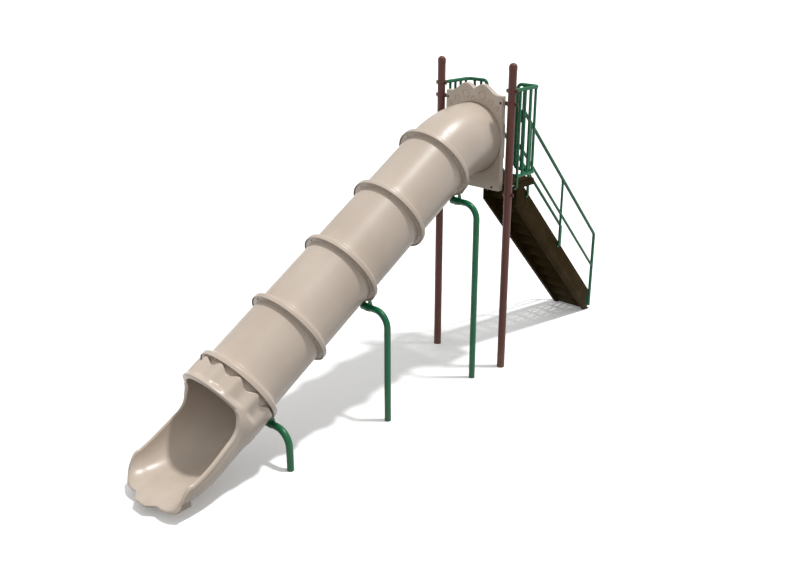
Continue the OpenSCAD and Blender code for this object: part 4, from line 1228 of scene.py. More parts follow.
@dataclass
class ExitChute(Assembly):
    """The exit moulding: fluted hood, open chute with a rolled rim and lobed mouth.

    Each groove is a depth, a distance from the free edge and a width. The collar is where it
    starts and how far its scallops reach, and the flutes end at a place and fade over a length.
    """

    hood_len: float = 260.0
    hood_angle: float = 115.0
    hood_t: float = 55.0
    rim_t: float = 42.0
    lip_t: float = 30.0
    wall_angle: float = 88.0
    rim_fall: float = 290.0
    taper_q: float = 450.0
    taper_len: float = 500.0
    mouth_half_w: float = 415.0
    mouth_depth: float = 262.0
    mouth_len: float = 268.0
    mouth_run: float = 262.0
    mouth_back: float = 16.0
    mouth_flatness: float = 0.64
    lobe_drop: float = 72.0
    lobe_y: float = 66.0
    lobe_w: float = 118.0
    notch_y: float = 180.0
    side_drop: float = 160.0
    side_lobe: float = 92.0
    side_y: float = 240.0
    foot_v: float = 0.30
    foot_span: Pair = (88.0, 78.0)
    foot_levels: tuple[float, ...] = (0.75, 0.5, 0.25, 0.06, 0.0)
    lip_r: float = 20.0
    lip_share: float = 0.35
    roll_r: float = 13.0
    roll: float = 0.35
    grooves: tuple[Triple, ...] = ((6.0, 42.0, 7.0), (3.5, 62.0, 6.0))
    flute_depth: float = 30.0
    flute_end: Pair = (178.0, 60.0)
    flare_h: float = 9.0
    hood_band: float = 470.0
    mouth_band: float = 290.0
    lip_band: float = 50.0
    band_fade: float = 110.0
    collar: Pair = (7.0, 50.0)
    collar_round: float = 14.0
    collar_end: float = 200.0
    roof_steps: int = 180
    chute_steps: int = 60

    def __post_init__(self) -> None:
        """Works out the path of the underside and the angles of the section's points."""
        z = self.sizes
        self.exit_s = z.joints[4]
        self.arc_len = z.run_out_r * z.tilt
        self.mouth_q = z.level_q + self.arc_len - self.mouth_back
        self.front_q = z.level_q + self.arc_len + self.mouth_len
        self.arc_c = z.axis(self.exit_s + z.level_q) - z.tube_r * z.up + z.run_out_r * z.up
        self.near = np.array([
            0, .35, 1.1, 2.3, 4, 6.2, 9, 12.5, 16.5, 21, 26, 32, 38, 44, 50, 57, 65, 74, 84, 96,
            110, 128, 150, 174, 178, 184, 190, 196, 202, 209, 218, 228, 242, 262, 290, 325, 365,
            410, 460, 514, 550, 583, 608, 630, 651, 670, 688, 703, 716, 727, 735, 740])
        half_v = 1 - self.near[::-1] / self.near[-1]
        self.open_v = np.concatenate([-half_v[:0:-1], half_v])
        steps = np.arange(1, self.roof_steps + 1)
        roof = self.hood_angle + steps * (360 - 2 * self.hood_angle) / (self.roof_steps + 1)
        self.psi = np.concatenate([self.open_v * self.hood_angle, roof])

    def path(self, q: np.ndarray) -> tuple[np.ndarray, np.ndarray]:
        """Underside of the moulding.

        Args:
            q: Distances past the last joint.

        Returns:
            Points of the underside and the directions of the sections.
        """
        z = self.sizes
        a = z.tilt - np.clip((q - z.level_q) / self.arc_len, 0, 1) * z.tilt
        up = np.stack([-np.sin(a), np.zeros_like(a), np.cos(a)], -1)
        on_arc = self.arc_c - z.run_out_r * up
        on_arc[..., 0] -= np.maximum(0, q - z.level_q - self.arc_len)
        line = z.axis(self.exit_s) - z.tube_r * z.up + q[..., None] * z.down
        return np.where((q < z.level_q)[..., None], line, on_arc), up

    def half_w(self, q: np.ndarray) -> np.ndarray:
        """Half width of the section."""
        t = ease((q - self.taper_q) / self.taper_len)
        return lerp(self.sizes.tube_r, self.mouth_half_w, t)

    def half_h(self, q: np.ndarray) -> np.ndarray:
        """Half height of the section."""
        t = np.clip((q - self.taper_q) / (self.mouth_q - self.taper_q), 0, 1)
        return lerp(self.sizes.tube_r, self.mouth_depth, t ** 1.6)

    def rim_angle(self, q: np.ndarray) -> np.ndarray:
        """Angle from the bottom of the section up to the free rim."""
        u = np.clip((q - self.hood_len) / self.rim_fall, 0, 1)
        return self.hood_angle - (self.hood_angle - self.wall_angle) * (1 - (1 - u) ** 2) ** 0.6

    def flatness(self, q: np.ndarray) -> np.ndarray:
        """Power that flattens the bottom of the section, one for a round section."""
        t = np.clip((q - self.taper_q) / (self.mouth_q - self.taper_q), 0, 1)
        return lerp(1.0, self.mouth_flatness, ease(t))

    def mouth_reach(self, y: np.ndarray) -> np.ndarray:
        """How far the lobed mouth reaches.

        Args:
            y: Distances from the middle.

        Returns:
            The reach past the start of the mouth.
        """
        a, full = np.abs(y), self.front_q - self.mouth_q
        mid = full - self.lobe_drop * ease((a - self.lobe_y) / self.lobe_w)
        out = (a - self.side_y) / (self.mouth_half_w - self.side_y)
        bulge = self.side_lobe * np.sqrt(np.clip(1 - out ** 2, 0, None))
        return np.where(a < self.notch_y, mid, full - self.side_drop + bulge)

    def lip(self, d: np.ndarray) -> np.ndarray:
        """Share of the wall that is left at a distance d from the rounded free edge."""
        u = np.clip(1 - d / self.lip_r, 0, 1)
        return self.lip_share + (1 - self.lip_share) * np.sqrt(1 - u * u)

    def outer(self, d: np.ndarray, full: object, width: object, cut: object = 1.0) -> np.ndarray:
        """Wall thickness near the free edge, with its grooves.

        Args:
            d: Distances from the free edge.
            full: Thickness of the band along the edge.
            width: Width of that band.
            cut: Share of the grooves' depth.

        Returns:
            The thickness.
        """
        body = lerp(full, self.sizes.tube_wall, ease((d - width) / self.band_fade))
        groove = sum(deep * np.exp(-((d - at) / wide) ** 2) for deep, at, wide in self.grooves)
        return (body - cut * groove) * self.lip(d)

    def inner(self, d: np.ndarray, full: object) -> np.ndarray:
        """How far the running surface rolls outwards near the free edge."""
        u = np.clip(1 - d / self.roll_r, 0, 1)
        return self.roll * np.asarray(full) * (1 - np.sqrt(1 - u * u))

    def section(self, base: np.ndarray, up: np.ndarray, w: object, h: object, psi: np.ndarray,
                e: object, k: object = 1.0) -> np.ndarray:
        """Points of sections of the moulding.

        Args:
            base: Lowest point of each section.
            up: Direction of each section.
            w: Half widths.
            h: Half heights.
            psi: Angles from the bottom in radians.
            e: Distances outside the running surface.
            k: Powers that flatten the sections.

        Returns:
            The points.
        """
        def bent(a: np.ndarray, power: object) -> np.ndarray:
            """Power of a that keeps its sign."""
            return np.sign(a) * np.abs(a) ** power

        t = self.sizes.tube_wall
        s, c = np.sin(psi), np.cos(psi)
        y, v = (w - t) * bent(s, k), t + (h - t) * (1 - bent(c, k))
        n = np.stack([(h - t) * bent(s, 2 - k), -(w - t) * bent(c, 2 - k)], -1)
        n = n / np.linalg.norm(n, axis=-1, keepdims=True)
        out = base + (v + e * n[..., 1])[..., None] * up
        out[..., 1] += y + e * n[..., 0]
        return out

    def wave(self) -> np.ndarray:
        """One at each bolt of the joint and zero halfway between two, faded out below the rims."""
        t = 180 - np.abs((self.psi + 540) % 360 - 180)
        return (0.5 + 0.5 * np.cos(np.radians(12 * t))) * (1 - ease((t - 100) / 14))

    def hood_wall(self, q: np.ndarray, start: np.ndarray) -> tuple[np.ndarray, np.ndarray]:
        """Thickness and inner roll of the hood.

        Args:
            q: Distance along the path at each angle.
            start: Where the thick collar begins at each angle.

        Returns:
            The offsets of the outer and the running surface.
        """
        z = self.sizes
        p = np.abs((self.psi + 540) % 360 - 180)
        a, b = (self.hood_angle - p) * z.bore_r * math.pi / 180, self.hood_len - q
        roof = p >= self.hood_angle
        d = np.where(roof, b, np.hypot(a, b))
        end, fade = self.flute_end
        flute = self.flute_depth * self.wave() ** 0.85 * (1 - ease((q - end) / fade))
        flare = self.flare_h * np.exp(-(b / 30) ** 2) * ease((p - self.hood_angle) / 25)
        full = self.hood_t - flute + flare
        lip = self.lip(d)
        flank = lerp(full, z.tube_wall, ease((a - self.hood_band) / self.band_fade)) * lip
        body = np.where(roof, full * lip, flank)
        u = np.clip(1 - (q - start) / self.collar_round, 0, 1)
        rise = np.where(q <= start, 0.0, np.sqrt(1 - u * u))
        return z.tube_wall + (body - z.tube_wall) * rise, self.inner(d, full)

    def hood(self) -> tuple[list[np.ndarray], list[np.ndarray]]:
        """Closed rings of the hood from the joint's flange to its front edge.

        Returns:
            Rings of the outer and of the running surface.
        """
        z, n, rad = self.sizes, len(self.psi), np.radians(self.psi)

        def ring(q: object, e: np.ndarray) -> np.ndarray:
            """Ring at distances q, a distance e outside the running surface."""
            base, _ = self.path(np.broadcast_to(q, n))
            return self.section(base, z.up, z.tube_r, z.tube_r, rad, e)

        front = self.hood_len - self.near[self.near < 60][::-1]
        start = self.collar[0] + self.collar[1] * self.wave()
        steps = [start - 8, start]
        steps += [start + t for t in (0.15, 0.6, 1.4, 2.6, 4.4, 6.8, 10, self.collar_round)]
        steps += [lerp(start + self.collar_round, self.collar_end, t)
                  for t in np.arange(1, 25) / 24]
        steps += [np.full(n, t) for t in front[front > self.collar_end + 1]]
        back, seat = -z.seat_depth, z.flange_t - z.seat_depth
        flange = z.flange_r - z.bore_r
        outer = [ring(q, np.full(n, e))
                 for q, e in ((back, flange), (seat, flange), (seat, z.tube_wall))]
        inner = [ring(back, np.zeros(n))]
        for q in steps:
            e, roll = self.hood_wall(q, start)
            outer.append(ring(q, e))
            if q.min() > self.collar_end - 1:
                inner.append(ring(q, roll))
        return outer, inner

    def chute(self) -> tuple[np.ndarray, np.ndarray]:
        """Open sections of the chute from the hood to the mouth.

        Returns:
            Rows of the outer and of the running surface.
        """
        share = (np.arange(1, self.chute_steps + 1) / self.chute_steps) ** 1.15
        along = lerp(self.hood_len, self.mouth_q, share)
        v = np.broadcast_to(self.open_v, (len(along), len(self.open_v)))
        q = along[:, None] * np.ones_like(v)
        past = q - self.hood_len
        base, up = self.path(q)
        rim, w, h = self.rim_angle(q), self.half_w(q), self.half_h(q)
        d = (1 - np.abs(v)) * rim * (w + h) / 2 * math.pi / 180
        full = lerp(self.hood_t, self.rim_t, ease(past / 160))
        width = lerp(self.hood_band, self.mouth_band, ease(past / 400))
        angle, flat = np.radians(v * rim), self.flatness(q)
        walls = (self.outer(d, full, width, ease(past / 120)), self.inner(d, full))
        outer, inner = (self.section(base, up, w, h, angle, wall, flat) for wall in walls)
        return outer, inner

    def mouth(self) -> tuple[np.ndarray, np.ndarray]:
        """Open sections of the mouth, which run out to the lobed lip.

        Returns:
            Rows of the outer and of the running surface.
        """
        near = self.near
        back = near[(near < 250) & ((near < 60) | (near % 3 == 0))][::-1]
        u = np.clip(1 - back / self.mouth_run, 0, 1)[:, None] * np.ones((1, len(self.open_v)))
        v = np.broadcast_to(self.open_v, u.shape)
        angle = np.radians(v * self.wall_angle)
        across = self.mouth_half_w * np.abs(np.sin(angle)) ** self.mouth_flatness
        reach = self.mouth_reach(across)
        fall = np.sqrt(np.clip(1 - u ** 1.8, 0, None))
        h = np.maximum(0.05 * self.mouth_depth, self.mouth_depth * fall)
        start = np.array(self.mouth_q)
        rim_h = (self.half_w(start) + self.half_h(start)) / 2
        a = (1 - np.abs(v)) * self.wall_angle * rim_h * math.pi / 180 * np.maximum(0.25, fall)
        b = (1 - u) * reach
        d = np.minimum(a, b) * (1 - 0.2 * np.exp(-np.abs(a - b) / 30))
        base, _ = self.path(self.mouth_q + reach * u)
        base[..., 2] -= 6 * ease(1 - b / 90)
        full = lerp(self.rim_t, self.lip_t, ease(1 - b / 120))
        width = lerp(self.mouth_band, self.lip_band, ease(1.6 * u))
        walls = (self.outer(d, full, width, 1 - u), self.inner(d, full))
        outer, inner = (self.section(base, np.array([0.0, 0.0, 1.0]), self.mouth_half_w,
                                     self.sizes.tube_wall + h, angle, wall, self.mouth_flatness)
                        for wall in walls)
        return outer, inner

    def moulding(self) -> Mesh:
        """Closed skin of the whole moulding.

        Returns:
            The mesh.
        """
        hood_out, hood_in = self.hood()
        open_out, open_in = (np.concatenate(parts) for parts in zip(self.chute(), self.mouth()))
        n_ring, n_open, n_rows = len(self.psi), len(self.open_v), len(open_out)
        r_h, r_i = len(hood_out), len(hood_in)
        i_h = r_h * n_ring
        o_c = i_h + r_i * n_ring
        i_c = o_c + n_rows * n_open
        last_o, last_i = i_h - n_ring, o_c - n_ring
        faces = skin(r_h, n_ring, 0, wrap_cols=True) + skin(r_i, n_ring, i_h, wrap_cols=True)
        faces += skin(n_rows, n_open, o_c) + skin(n_rows, n_open, i_c)
        for j in range(n_open - 1):
            faces.append((last_o + j, last_o + j + 1, o_c + j + 1, o_c + j))
            faces.append((last_i + j, last_i + j + 1, i_c + j + 1, i_c + j))
        for j in range(n_ring):
            faces.append((j, (j + 1) % n_ring, i_h + (j + 1) % n_ring, i_h + j))
        points = np.concatenate(hood_out + hood_in + [open_out.reshape(-1, 3),
                                                      open_in.reshape(-1, 3)])
        return self.bench.mesh(points, faces)

    def foot(self) -> Mesh:
        """Loft of the moulded foot under the mouth, with a flared, rounded base.

        Returns:
            The mesh.
        """
        q0, q1 = self.mouth_q - self.foot_span[0], self.mouth_q + self.foot_span[1]
        n_q, n_v = 12, 40
        q = np.linspace(q0, q1, n_q)[:, None] * np.ones((1, n_v + 1))
        v = np.broadcast_to(self.foot_v * (2 * np.arange(n_v + 1) / n_v - 1), q.shape)
        base, up = self.path(q)
        rim, w, h = self.rim_angle(q), self.half_w(q), self.half_h(q)
        angle = np.radians(v * rim)
        d = (1 - np.abs(v)) * rim * (w + h) / 2 * math.pi / 180
        gap = self.outer(d, self.rim_t, self.mouth_band) + 1
        top = self.section(base, up, w, h, angle, gap, self.flatness(q))
        flat = self.section(base, np.array([0.0, 0.0, 1.0]), self.mouth_half_w, h, angle, gap,
                            self.mouth_flatness)
        top = np.where((q > self.mouth_q)[..., None], flat, top)
        mid = float(self.path(np.array([(q0 + q1) / 2]))[0][0, 0])
        ring = [(0, j) for j in range(n_v + 1)] + [(i, n_v) for i in range(1, n_q)]
        ring += [(n_q - 1, j) for j in range(n_v - 1, -1, -1)]
        ring += [(i, 0) for i in range(n_q - 2, 0, -1)]
        points, faces = [p for row in top for p in row], skin(n_q, n_v + 1)
        first, m = len(points), len(ring)
        edge = [i * (n_v + 1) + j for i, j in ring]
        for f in self.foot_levels:
            grow = 1 + 0.04 * (1 - f) ** 2 - (0.012 if f == 0.0 else 0.0)
            for p in [points[k] for k in edge]:
                x = mid + (p[0] - mid) * (1 - 0.06 * (1 - f))
                points.append(np.array([x, p[1] * grow, p[2] * f]))
        faces += [(edge[k], edge[(k + 1) % m], first + (k + 1) % m, first + k) for k in range(m)]
        faces += skin(len(self.foot_levels), m, first, wrap_cols=True)
        faces.append(tuple(range(len(points) - m, len(points))))
        return self.bench.mesh(points, faces)

    def build(self) -> None:
        """Makes the exit moulding and its foot."""
        for name, mesh, node, sharp in (
                ("exit_moulding", self.moulding(), "exit_chute", 60),
                ("exit_foot_moulding", self.foot(), "exit_foot", 50)):
            self.bench.piece(name, mesh, Finish.MOULDED_TAN, [node], sharp=sharp)


@dataclass
class EntrancePanel(Assembly):
    """The moulded panel round the entrance with its crest and raised ring marks.

    Each mark is a place in degrees from the top, a distance from the tube, a radius and the
    width of its bead.
    """

    drop: float = 562.0
    rise: float = 498.0
    crest_h: float = 102.0
    crest_ends: float = 18.0
    side_ends: float = 50.0
    hump_y: float = 120.0
    hump_w: float = 212.0
    notch_depth: float = 57.0
    blur: float = 5.0
    low_r: float = 26.0
    high_r: float = 20.0
    edge_r: float = 13.0
    rear_r: float = 5.0
    hole_round: float = 0.55
    hole_sides: int = 180
    mark_h: float = 7.0
    side_marks: tuple[tuple[float, ...], ...] = (
        (42.4, 99.0, 23.0, 7.0), (29.5, 91.0, 36.0, 9.0), (13.2, 101.0, 51.0, 12.0))
    top_mark: tuple[float, ...] = (1.0, 44.0, 30.0, 8.0)

    def crest(self, y: np.ndarray) -> np.ndarray:
        """Height of the upper edge above the corners, softened like a moulding.

        Args:
            y: Distances from the middle.

        Returns:
            The heights.
        """
        def raw(y: np.ndarray) -> np.ndarray:
            """Two round humps with a sharp notch between them and flat shoulders.

            Args:
                y: Distances from the middle.

            Returns:
                The heights.
            """
            a = np.abs(y)
            t = np.clip((a - self.hump_y) / self.hump_w, 0, 1)
            fall = self.crest_h * (0.5 + 0.5 * np.cos(math.pi * t))
            notch = self.crest_h - self.notch_depth * (1 - a / self.hump_y) ** 2
            return np.where(a > self.hump_y, fall, notch)

        return sum(raw(y + d) for d in (-self.blur, 0, self.blur)) / 3

    def outline(self) -> np.ndarray:
        """Outer outline of the panel.

        Returns:
            Pairs of y and z, counter-clockwise seen from the rear.
        """
        z = self.sizes
        half, low, high = z.panel_half, z.entry_h - self.drop, z.entry_h + self.rise
        r, s, side, ends = self.low_r, self.high_r, high - low - self.side_ends, self.crest_ends
        pts = arc(-half + r, low + r, r, 180, 270, 8) + arc(half - r, low + r, r, 270, 360, 8)
        pts += [(half, low + r + side * i / 10) for i in range(1, 10)]
        pts += arc(half - s, high - ends, s, 0, 78, 6)
        ys = np.linspace(half - ends, -half + ends, 160)
        pts += list(zip(ys, high + self.crest(ys)))
        pts += arc(-half + s, high - ends, s, 102, 180, 6)
        pts += [(-half, high - (self.side_ends - r) - side * i / 10) for i in range(1, 10)]
        return np.array(pts)

    def body(self) -> Mesh:
        """Plate with rounded edges and a round opening.

        Returns:
            The mesh.
        """
        z = self.sizes
        loop = self.outline()
        tangent = np.roll(loop, -1, 0) - np.roll(loop, 1, 0)
        normal = np.stack([tangent[:, 1], -tangent[:, 0]], -1)
        normal /= np.linalg.norm(normal, axis=1, keepdims=True)
        turn = 2 * np.pi * np.arange(self.hole_sides) / self.hole_sides
        hole = np.stack([np.sin(turn), np.cos(turn)], -1)
        quarter = sines(0, 90, 15)
        profile = [(z.panel_front + self.edge_r * (1 - c), self.edge_r * (1 - s))
                   for s, c in quarter]
        profile += [(z.panel_rear - self.rear_r * (1 - c), self.rear_r * (1 - s))
                    for s, c in reversed(quarter)]
        rows, holes = [], []
        for x, inset in profile:
            r = z.hole_r + inset * self.hole_round
            rows.append([(x, *(p - m * inset)) for p, m in zip(loop, normal)])
            holes.append([(x, r * c[0], z.entry_h + r * c[1]) for c in hole])
        work, loops = bmesh.new(), []
        for group in (rows, holes):
            made = [[work.verts.new(p) for p in row] for row in group]
            for a, b in zip(made, made[1:]):
                for j, k in zip(range(len(a)), [*range(1, len(a)), 0]):
                    work.faces.new((a[j], a[k], b[k], b[j]))
            loops.append(made)
        work.edges.ensure_lookup_table()
        for end in (0, -1):
            rims = [made[end] for made in loops]
            edges = [work.edges.get((row[j], row[(j + 1) % len(row)]))
                     for row in rims for j in range(len(row))]
            bmesh.ops.triangle_fill(work, use_beauty=True, use_dissolve=False, edges=edges)
        return closed(work, self.bench.mesh([]))

    def ring_mark(self, angle: float, out: float, r: float, w: float) -> Mesh:
        """Low rounded ring on the front face.

        Args:
            angle: Place round the hole from its top, in degrees.
            out: Distance from the tube.
            r: Outer radius of the ring.
            w: Width of its bead.

        Returns:
            The mesh.
        """
        z = self.sizes
        a, reach = math.radians(angle), z.tube_r + out
        centre = (z.panel_front, reach * math.sin(a), z.entry_h + reach * math.cos(a))
        top = [(r - w / 2 + w / 2 * c, self.mark_h * s) for s, c in sines(0, 180, 15)]
        return self.bench.turn(top + [(r - w, -1.0), (r, -1.0)], standing(centre, -90, "Y"),
                               Finish.MOULDED_TAN, 64)

    def build(self) -> None:
        """Makes the panel with its marks and dresses its bolts."""
        z = self.sizes
        marks = [self.ring_mark(side * a, out, r, w) for side in (-1, 1)
                 for a, out, r, w in self.side_marks]
        marks.append(self.ring_mark(*self.top_mark))
        knob_z = (z.entry_h - self.drop + z.entry_h - z.tube_r) / 2
        dome = [(0, -1), (15, -1), (15, 8)] + arc(11, 8, 4, 0, 90, 5) + [(0, 12)]
        knob = self.bench.lathe(dome, standing((z.panel_front, 0, knob_z), -90, "Y"), 36)
        whole = self.bench.join([self.body()] + marks + [knob])
        self.bench.piece("entrance_panel_moulding", whole, Finish.MOULDED_TAN, ["entrance_panel"],
                         sharp=42)
        self.bench.dress("panel_bolts", Finish.BOLT_DARK)


@dataclass
class Platform(Assembly):
    """The punched deck and the stair with its treads, stringers and bolts."""

    sheet: float = 4.0
    fold_r: float = 8.0
    notch_play: float = 8.0
    deck_slot: Pair = (14.0, 92.0)
    deck_field: tuple[int, int] = (8, 5)
    deck_margin: float = 140.0
    first_slot: float = 77.0
    tread_slots: int = 5
    tread_slot_w: float = 13.0
    tread_bridge: float = 28.0
    tread_margin: Pair = (44.0, 40.0)
    deep_tread: float = 150.0
    nose_h: float = 34.0
    hem_r: float = 4.0
    hem_len: float = 22.0
    riser_r: float = 6.0
    overlap: float = 26.0
    cross_rows: int = 16
    # Set-back and ground gap of the dark plate that closes the lowest step and paints the shade
    # under it.
    shade_kick_back: float = 12.0
    shade_kick_gap: float = 2.0

    def tile(self, wide: float, deep: float, slot_w: float, slot_l: float, n: int = 24) -> Mesh:
        """One rectangle of sheet with a long round-ended slot.

        Args:
            wide: Size along X.
            deep: Size along Y.
            slot_w: Width of the slot, along X.
            slot_l: Length of the slot, along Y.
            n: Points round the slot.

        Returns:
            The tile, centred on the origin.
        """
        inner, outer = [], []
        r, straight = slot_w / 2, slot_l / 2 - slot_w / 2
        for i in range(n):
            t = 2 * math.pi * (i + 0.5) / n
            c, s = math.cos(t), math.sin(t)
            inner.append((r * c, r * s + math.copysign(straight, s), 0.0))
            k = min(wide / 2 / abs(c), deep / 2 / abs(s))
            outer.append((k * c, k * s, 0.0))
        points = inner + outer
        faces = [(i, (i + 1) % n, n + (i + 1) % n, n + i) for i in range(n)]
        for a, b in ((1, 1), (-1, 1), (-1, -1), (1, -1)):
            x, y = a * wide / 2, b * deep / 2
            gaps = [math.hypot(p[0] - x, p[1] - y) for p in outer]
            i, j = sorted(sorted(range(n), key=gaps.__getitem__)[:2])
            if (i, j) == (0, n - 1):
                i, j = j, i
            faces.append((n + i, len(points), n + j))
            points.append((x, y, 0.0))
        return self.bench.mesh(points, faces)

    def field(self, wide: float, deep: float, count: tuple[int, int], slot: Pair,
              centre: Triple) -> Mesh:
        """Merged field of slots.

        Args:
            wide: Pitch of the slots along X.
            deep: Pitch of the slots along Y.
            count: Slots along X and Y.
            slot: Width and length of a slot.
            centre: Middle of the field.

        Returns:
            The mesh.
        """
        nx, ny = count
        mesh = self.bench.repeat(
            self.bench.sheet, self.tile(wide, deep, *slot), "Tile", Finish.DECK_BROWN,
            Field_Width=wide * (nx - 1), Field_Depth=deep * (ny - 1), Across=nx, Along=ny)
        mesh.transform(Matrix.Translation(centre))
        return mesh

    def frame_in(self, field_mesh: Mesh, outline: Outline, z: float,
                 rows: Sequence[Sequence[Triple]], whole: bool) -> Mesh:
        """Fills the sheet between a field and its outline and folds its edges down.

        Args:
            field_mesh: The punched field.
            outline: Outline of the flat sheet.
            z: Height of the sheet.
            rows: Rows of points that the outline goes on into.
            whole: Whether these rows run all the way round.

        Returns:
            The folded sheet.
        """
        work = opened(field_mesh)
        sides = [(axis, end(v.co[axis] for v in work.verts)) for axis in (0, 1)
                 for end in (min, max)]

        def on_rim(vert: bmesh.types.BMVert) -> bool:
            """Whether a point lies on a side of the field."""
            return any(abs(vert.co[axis] - side) < 0.01 for axis, side in sides)

        rim = [e for e in work.edges if e.is_boundary and all(on_rim(v) for v in e.verts)]
        ring = [work.verts.new((x, y, z)) for x, y in outline]
        n = len(ring)
        rim += [work.edges.new((ring[i], ring[(i + 1) % n])) for i in range(n)]
        bmesh.ops.triangle_fill(work, use_beauty=True, use_dissolve=False, edges=rim)
        last = ring
        for row in rows:
            made = [work.verts.new(p) for p in row]
            for i in range(n if whole else len(made) - 1):
                j = (i + 1) % n
                work.faces.new((last[i], last[j], made[j], made[i]))
            last = made
        return closed(work, self.bench.mesh([]))

    def deck_loop(self, inset: float) -> Outline:
        """Outline of the deck with its corners notched round the posts.

        Args:
            inset: Distance inside the skirt.

        Returns:
            The outline.
        """
        z = self.sizes
        rear, xa, ya = z.deck_rear - inset, z.deck_front + inset, z.deck_w / 2 - inset
        r = z.post_r + self.notch_play + inset
        reach = math.sqrt(max(0.0, r * r - (ya - z.post_y) ** 2))
        a0 = math.degrees(math.atan2(ya - z.post_y, reach))
        a1 = math.degrees(math.asin(max(-1.0, -math.sqrt(max(0.0, r * r - xa * xa)) / r)))
        right = arc(0, z.post_y, r, a0, a1, 8)
        first, last = right[0][0], right[-1][1]
        out = right + [(xa, y) for y in np.linspace(last, -last, 20)[1:-1]]
        out += [(x, -y) for x, y in reversed(right)]
        out += [(x, -ya) for x in np.linspace(first, rear, 10)[1:]]
        out += [(rear, y) for y in np.linspace(-ya, ya, 20)[1:]]
        return out + [(x, ya) for x in np.linspace(rear, first, 10)[1:-1]]

    def deck(self) -> Mesh:
        """Deck sheet with its slots, notched corners and folded skirt.

        Returns:
            The mesh.
        """
        z = self.sizes
        nx, ny = self.deck_field
        pitch_x, pitch_y = (z.deck_len - self.deck_margin) / (nx - 1), z.deck_w / (ny + 0.7)
        middle = z.deck_front + self.first_slot + (nx - 1) / 2 * pitch_x
        slots = self.field(pitch_x, pitch_y, self.deck_field, self.deck_slot,
                           (middle, 0.0, z.deck_h))
        folds = [(self.fold_r * (1 - s), self.fold_r * (1 - c)) for s, c in sines(15, 90, 15)]
        folds += [(0.0, 30.0), (0.0, 55.0), (0.0, z.skirt_h - 2), (2.0, z.skirt_h)]
        rows = [[(x, y, z.deck_h - drop) for x, y in self.deck_loop(inset)]
                for inset, drop in folds]
        return self.frame_in(slots, self.deck_loop(self.fold_r), z.deck_h, rows, True)

    def step(self, back: float, nose: float, level: float, riser_top: float) -> Mesh:
        """One folded step: riser behind, punched tread and turned down nose.

        Args:
            back: Where the riser stands.
            nose: Front of the tread.
            level: Height of the tread.
            riser_top: Upper end of the riser.

        Returns:
            The mesh.
        """
        half, depth, r = self.sizes.step_half, nose - back, self.riser_r
        nx, ny = 3 if depth > self.deep_tread else 2, self.tread_slots
        plain_x, plain_y = self.tread_margin
        pitch_x, pitch_y = (depth - plain_x) / nx, (2 * half - plain_y) / ny
        slot = (self.tread_slot_w, pitch_y - self.tread_bridge)
        slots = self.field(pitch_x, pitch_y, (nx, ny), slot, (back + depth / 2 - 2, 0, level))
        x0, x1 = back + r, nose - self.fold_r
        ys = np.linspace(-half, half, self.cross_rows)
        outline = [(x1, y) for y in ys] + [(x, half) for x in np.linspace(x1, x0, 6)[1:]]
        outline += [(x0, y) for y in ys[-2::-1]]
        outline += [(x, -half) for x in np.linspace(x0, x1, 6)[1:-1]]
        under = level - self.nose_h
        profile = [(nose - self.fold_r * (1 - s), level - self.fold_r * (1 - c))
                   for s, c in sines(15, 90, 15)] + [(nose, under)]
        profile += [(nose - self.hem_r + self.hem_r * c, under - self.hem_r * s)
                    for s, c in sines(45, 90, 45)]
        profile += [(nose - self.hem_len, under - self.hem_r)]
        rows = [[(x, y, h) for y in ys] for x, h in profile]
        riser = [(back + r, level)]
        riser += [(back + r - r * s, level + r - r * c) for s, c in sines(30, 90, 30)]
        riser += [(back, level + 40), (back, (level + riser_top) / 2), (back, riser_top)]
        points = [(x, y, h) for x, h in riser for y in ys]
        tread = self.frame_in(slots, outline, level, rows, False)
        return self.bench.join([tread, self.bench.mesh(points, skin(len(riser), len(ys)))])

    def flight(self) -> list[Mesh]:
        """The steps of the stair and a dark plate down to the ground that closes the lowest step
        and paints the shade under it.

        Returns:
            Their meshes.
        """
        z = self.sizes
        first = self.step(z.deck_rear + 8, z.nose_first, z.deck_h - z.rise,
                          z.deck_h - z.skirt_h - z.slip)
        nose, level = z.nose_first + z.step_run, z.deck_h - 2 * z.rise
        tread = self.step(nose - z.step_run - self.overlap, nose, level, level + z.rise - 4)
        others = self.bench.repeat(
            self.bench.row, tread, "Piece", Finish.DECK_BROWN, Count=z.risers - 2,
            Start=(0.0, 0.0, 0.0), Step=(z.step_run, 0.0, -z.rise))
        # A dark plate under the lowest step, which closes it and stands for the shade there.
        toe = z.nose_first + (z.risers - 2) * z.step_run - self.shade_kick_back
        heights = (z.rise - self.nose_h - 3, z.rise / 2, self.shade_kick_gap)
        ys = np.linspace(-z.step_half, z.step_half, self.cross_rows)
        plate = [(toe, y, h) for h in heights for y in ys]
        return [first, others, self.bench.mesh(plate, skin(len(heights), self.cross_rows))]

    def build(self) -> None:
        """Makes the deck, the treads, the stringers and their bolts."""
        for name, mesh, node in (("deck_sheet", self.deck(), "deck"),
                                 ("stair_flight", self.bench.join(self.flight()), "stair_steps")):
            self.bench.piece(name, mesh, Finish.DECK_BROWN, [node], solid=self.sheet, sharp=50)
        for side in ("left", "right"):
            self.bench.soften(f"stringer_{side}", Finish.DECK_BROWN, 3.0)
        self.bench.soften("stair_foot_plates", Finish.DECK_BROWN, 1.5)
        self.bench.dress("stair_bolts", Finish.DECK_BROWN)
        self.bench.dress("deck_bolts", Finish.BOLT_STEEL)


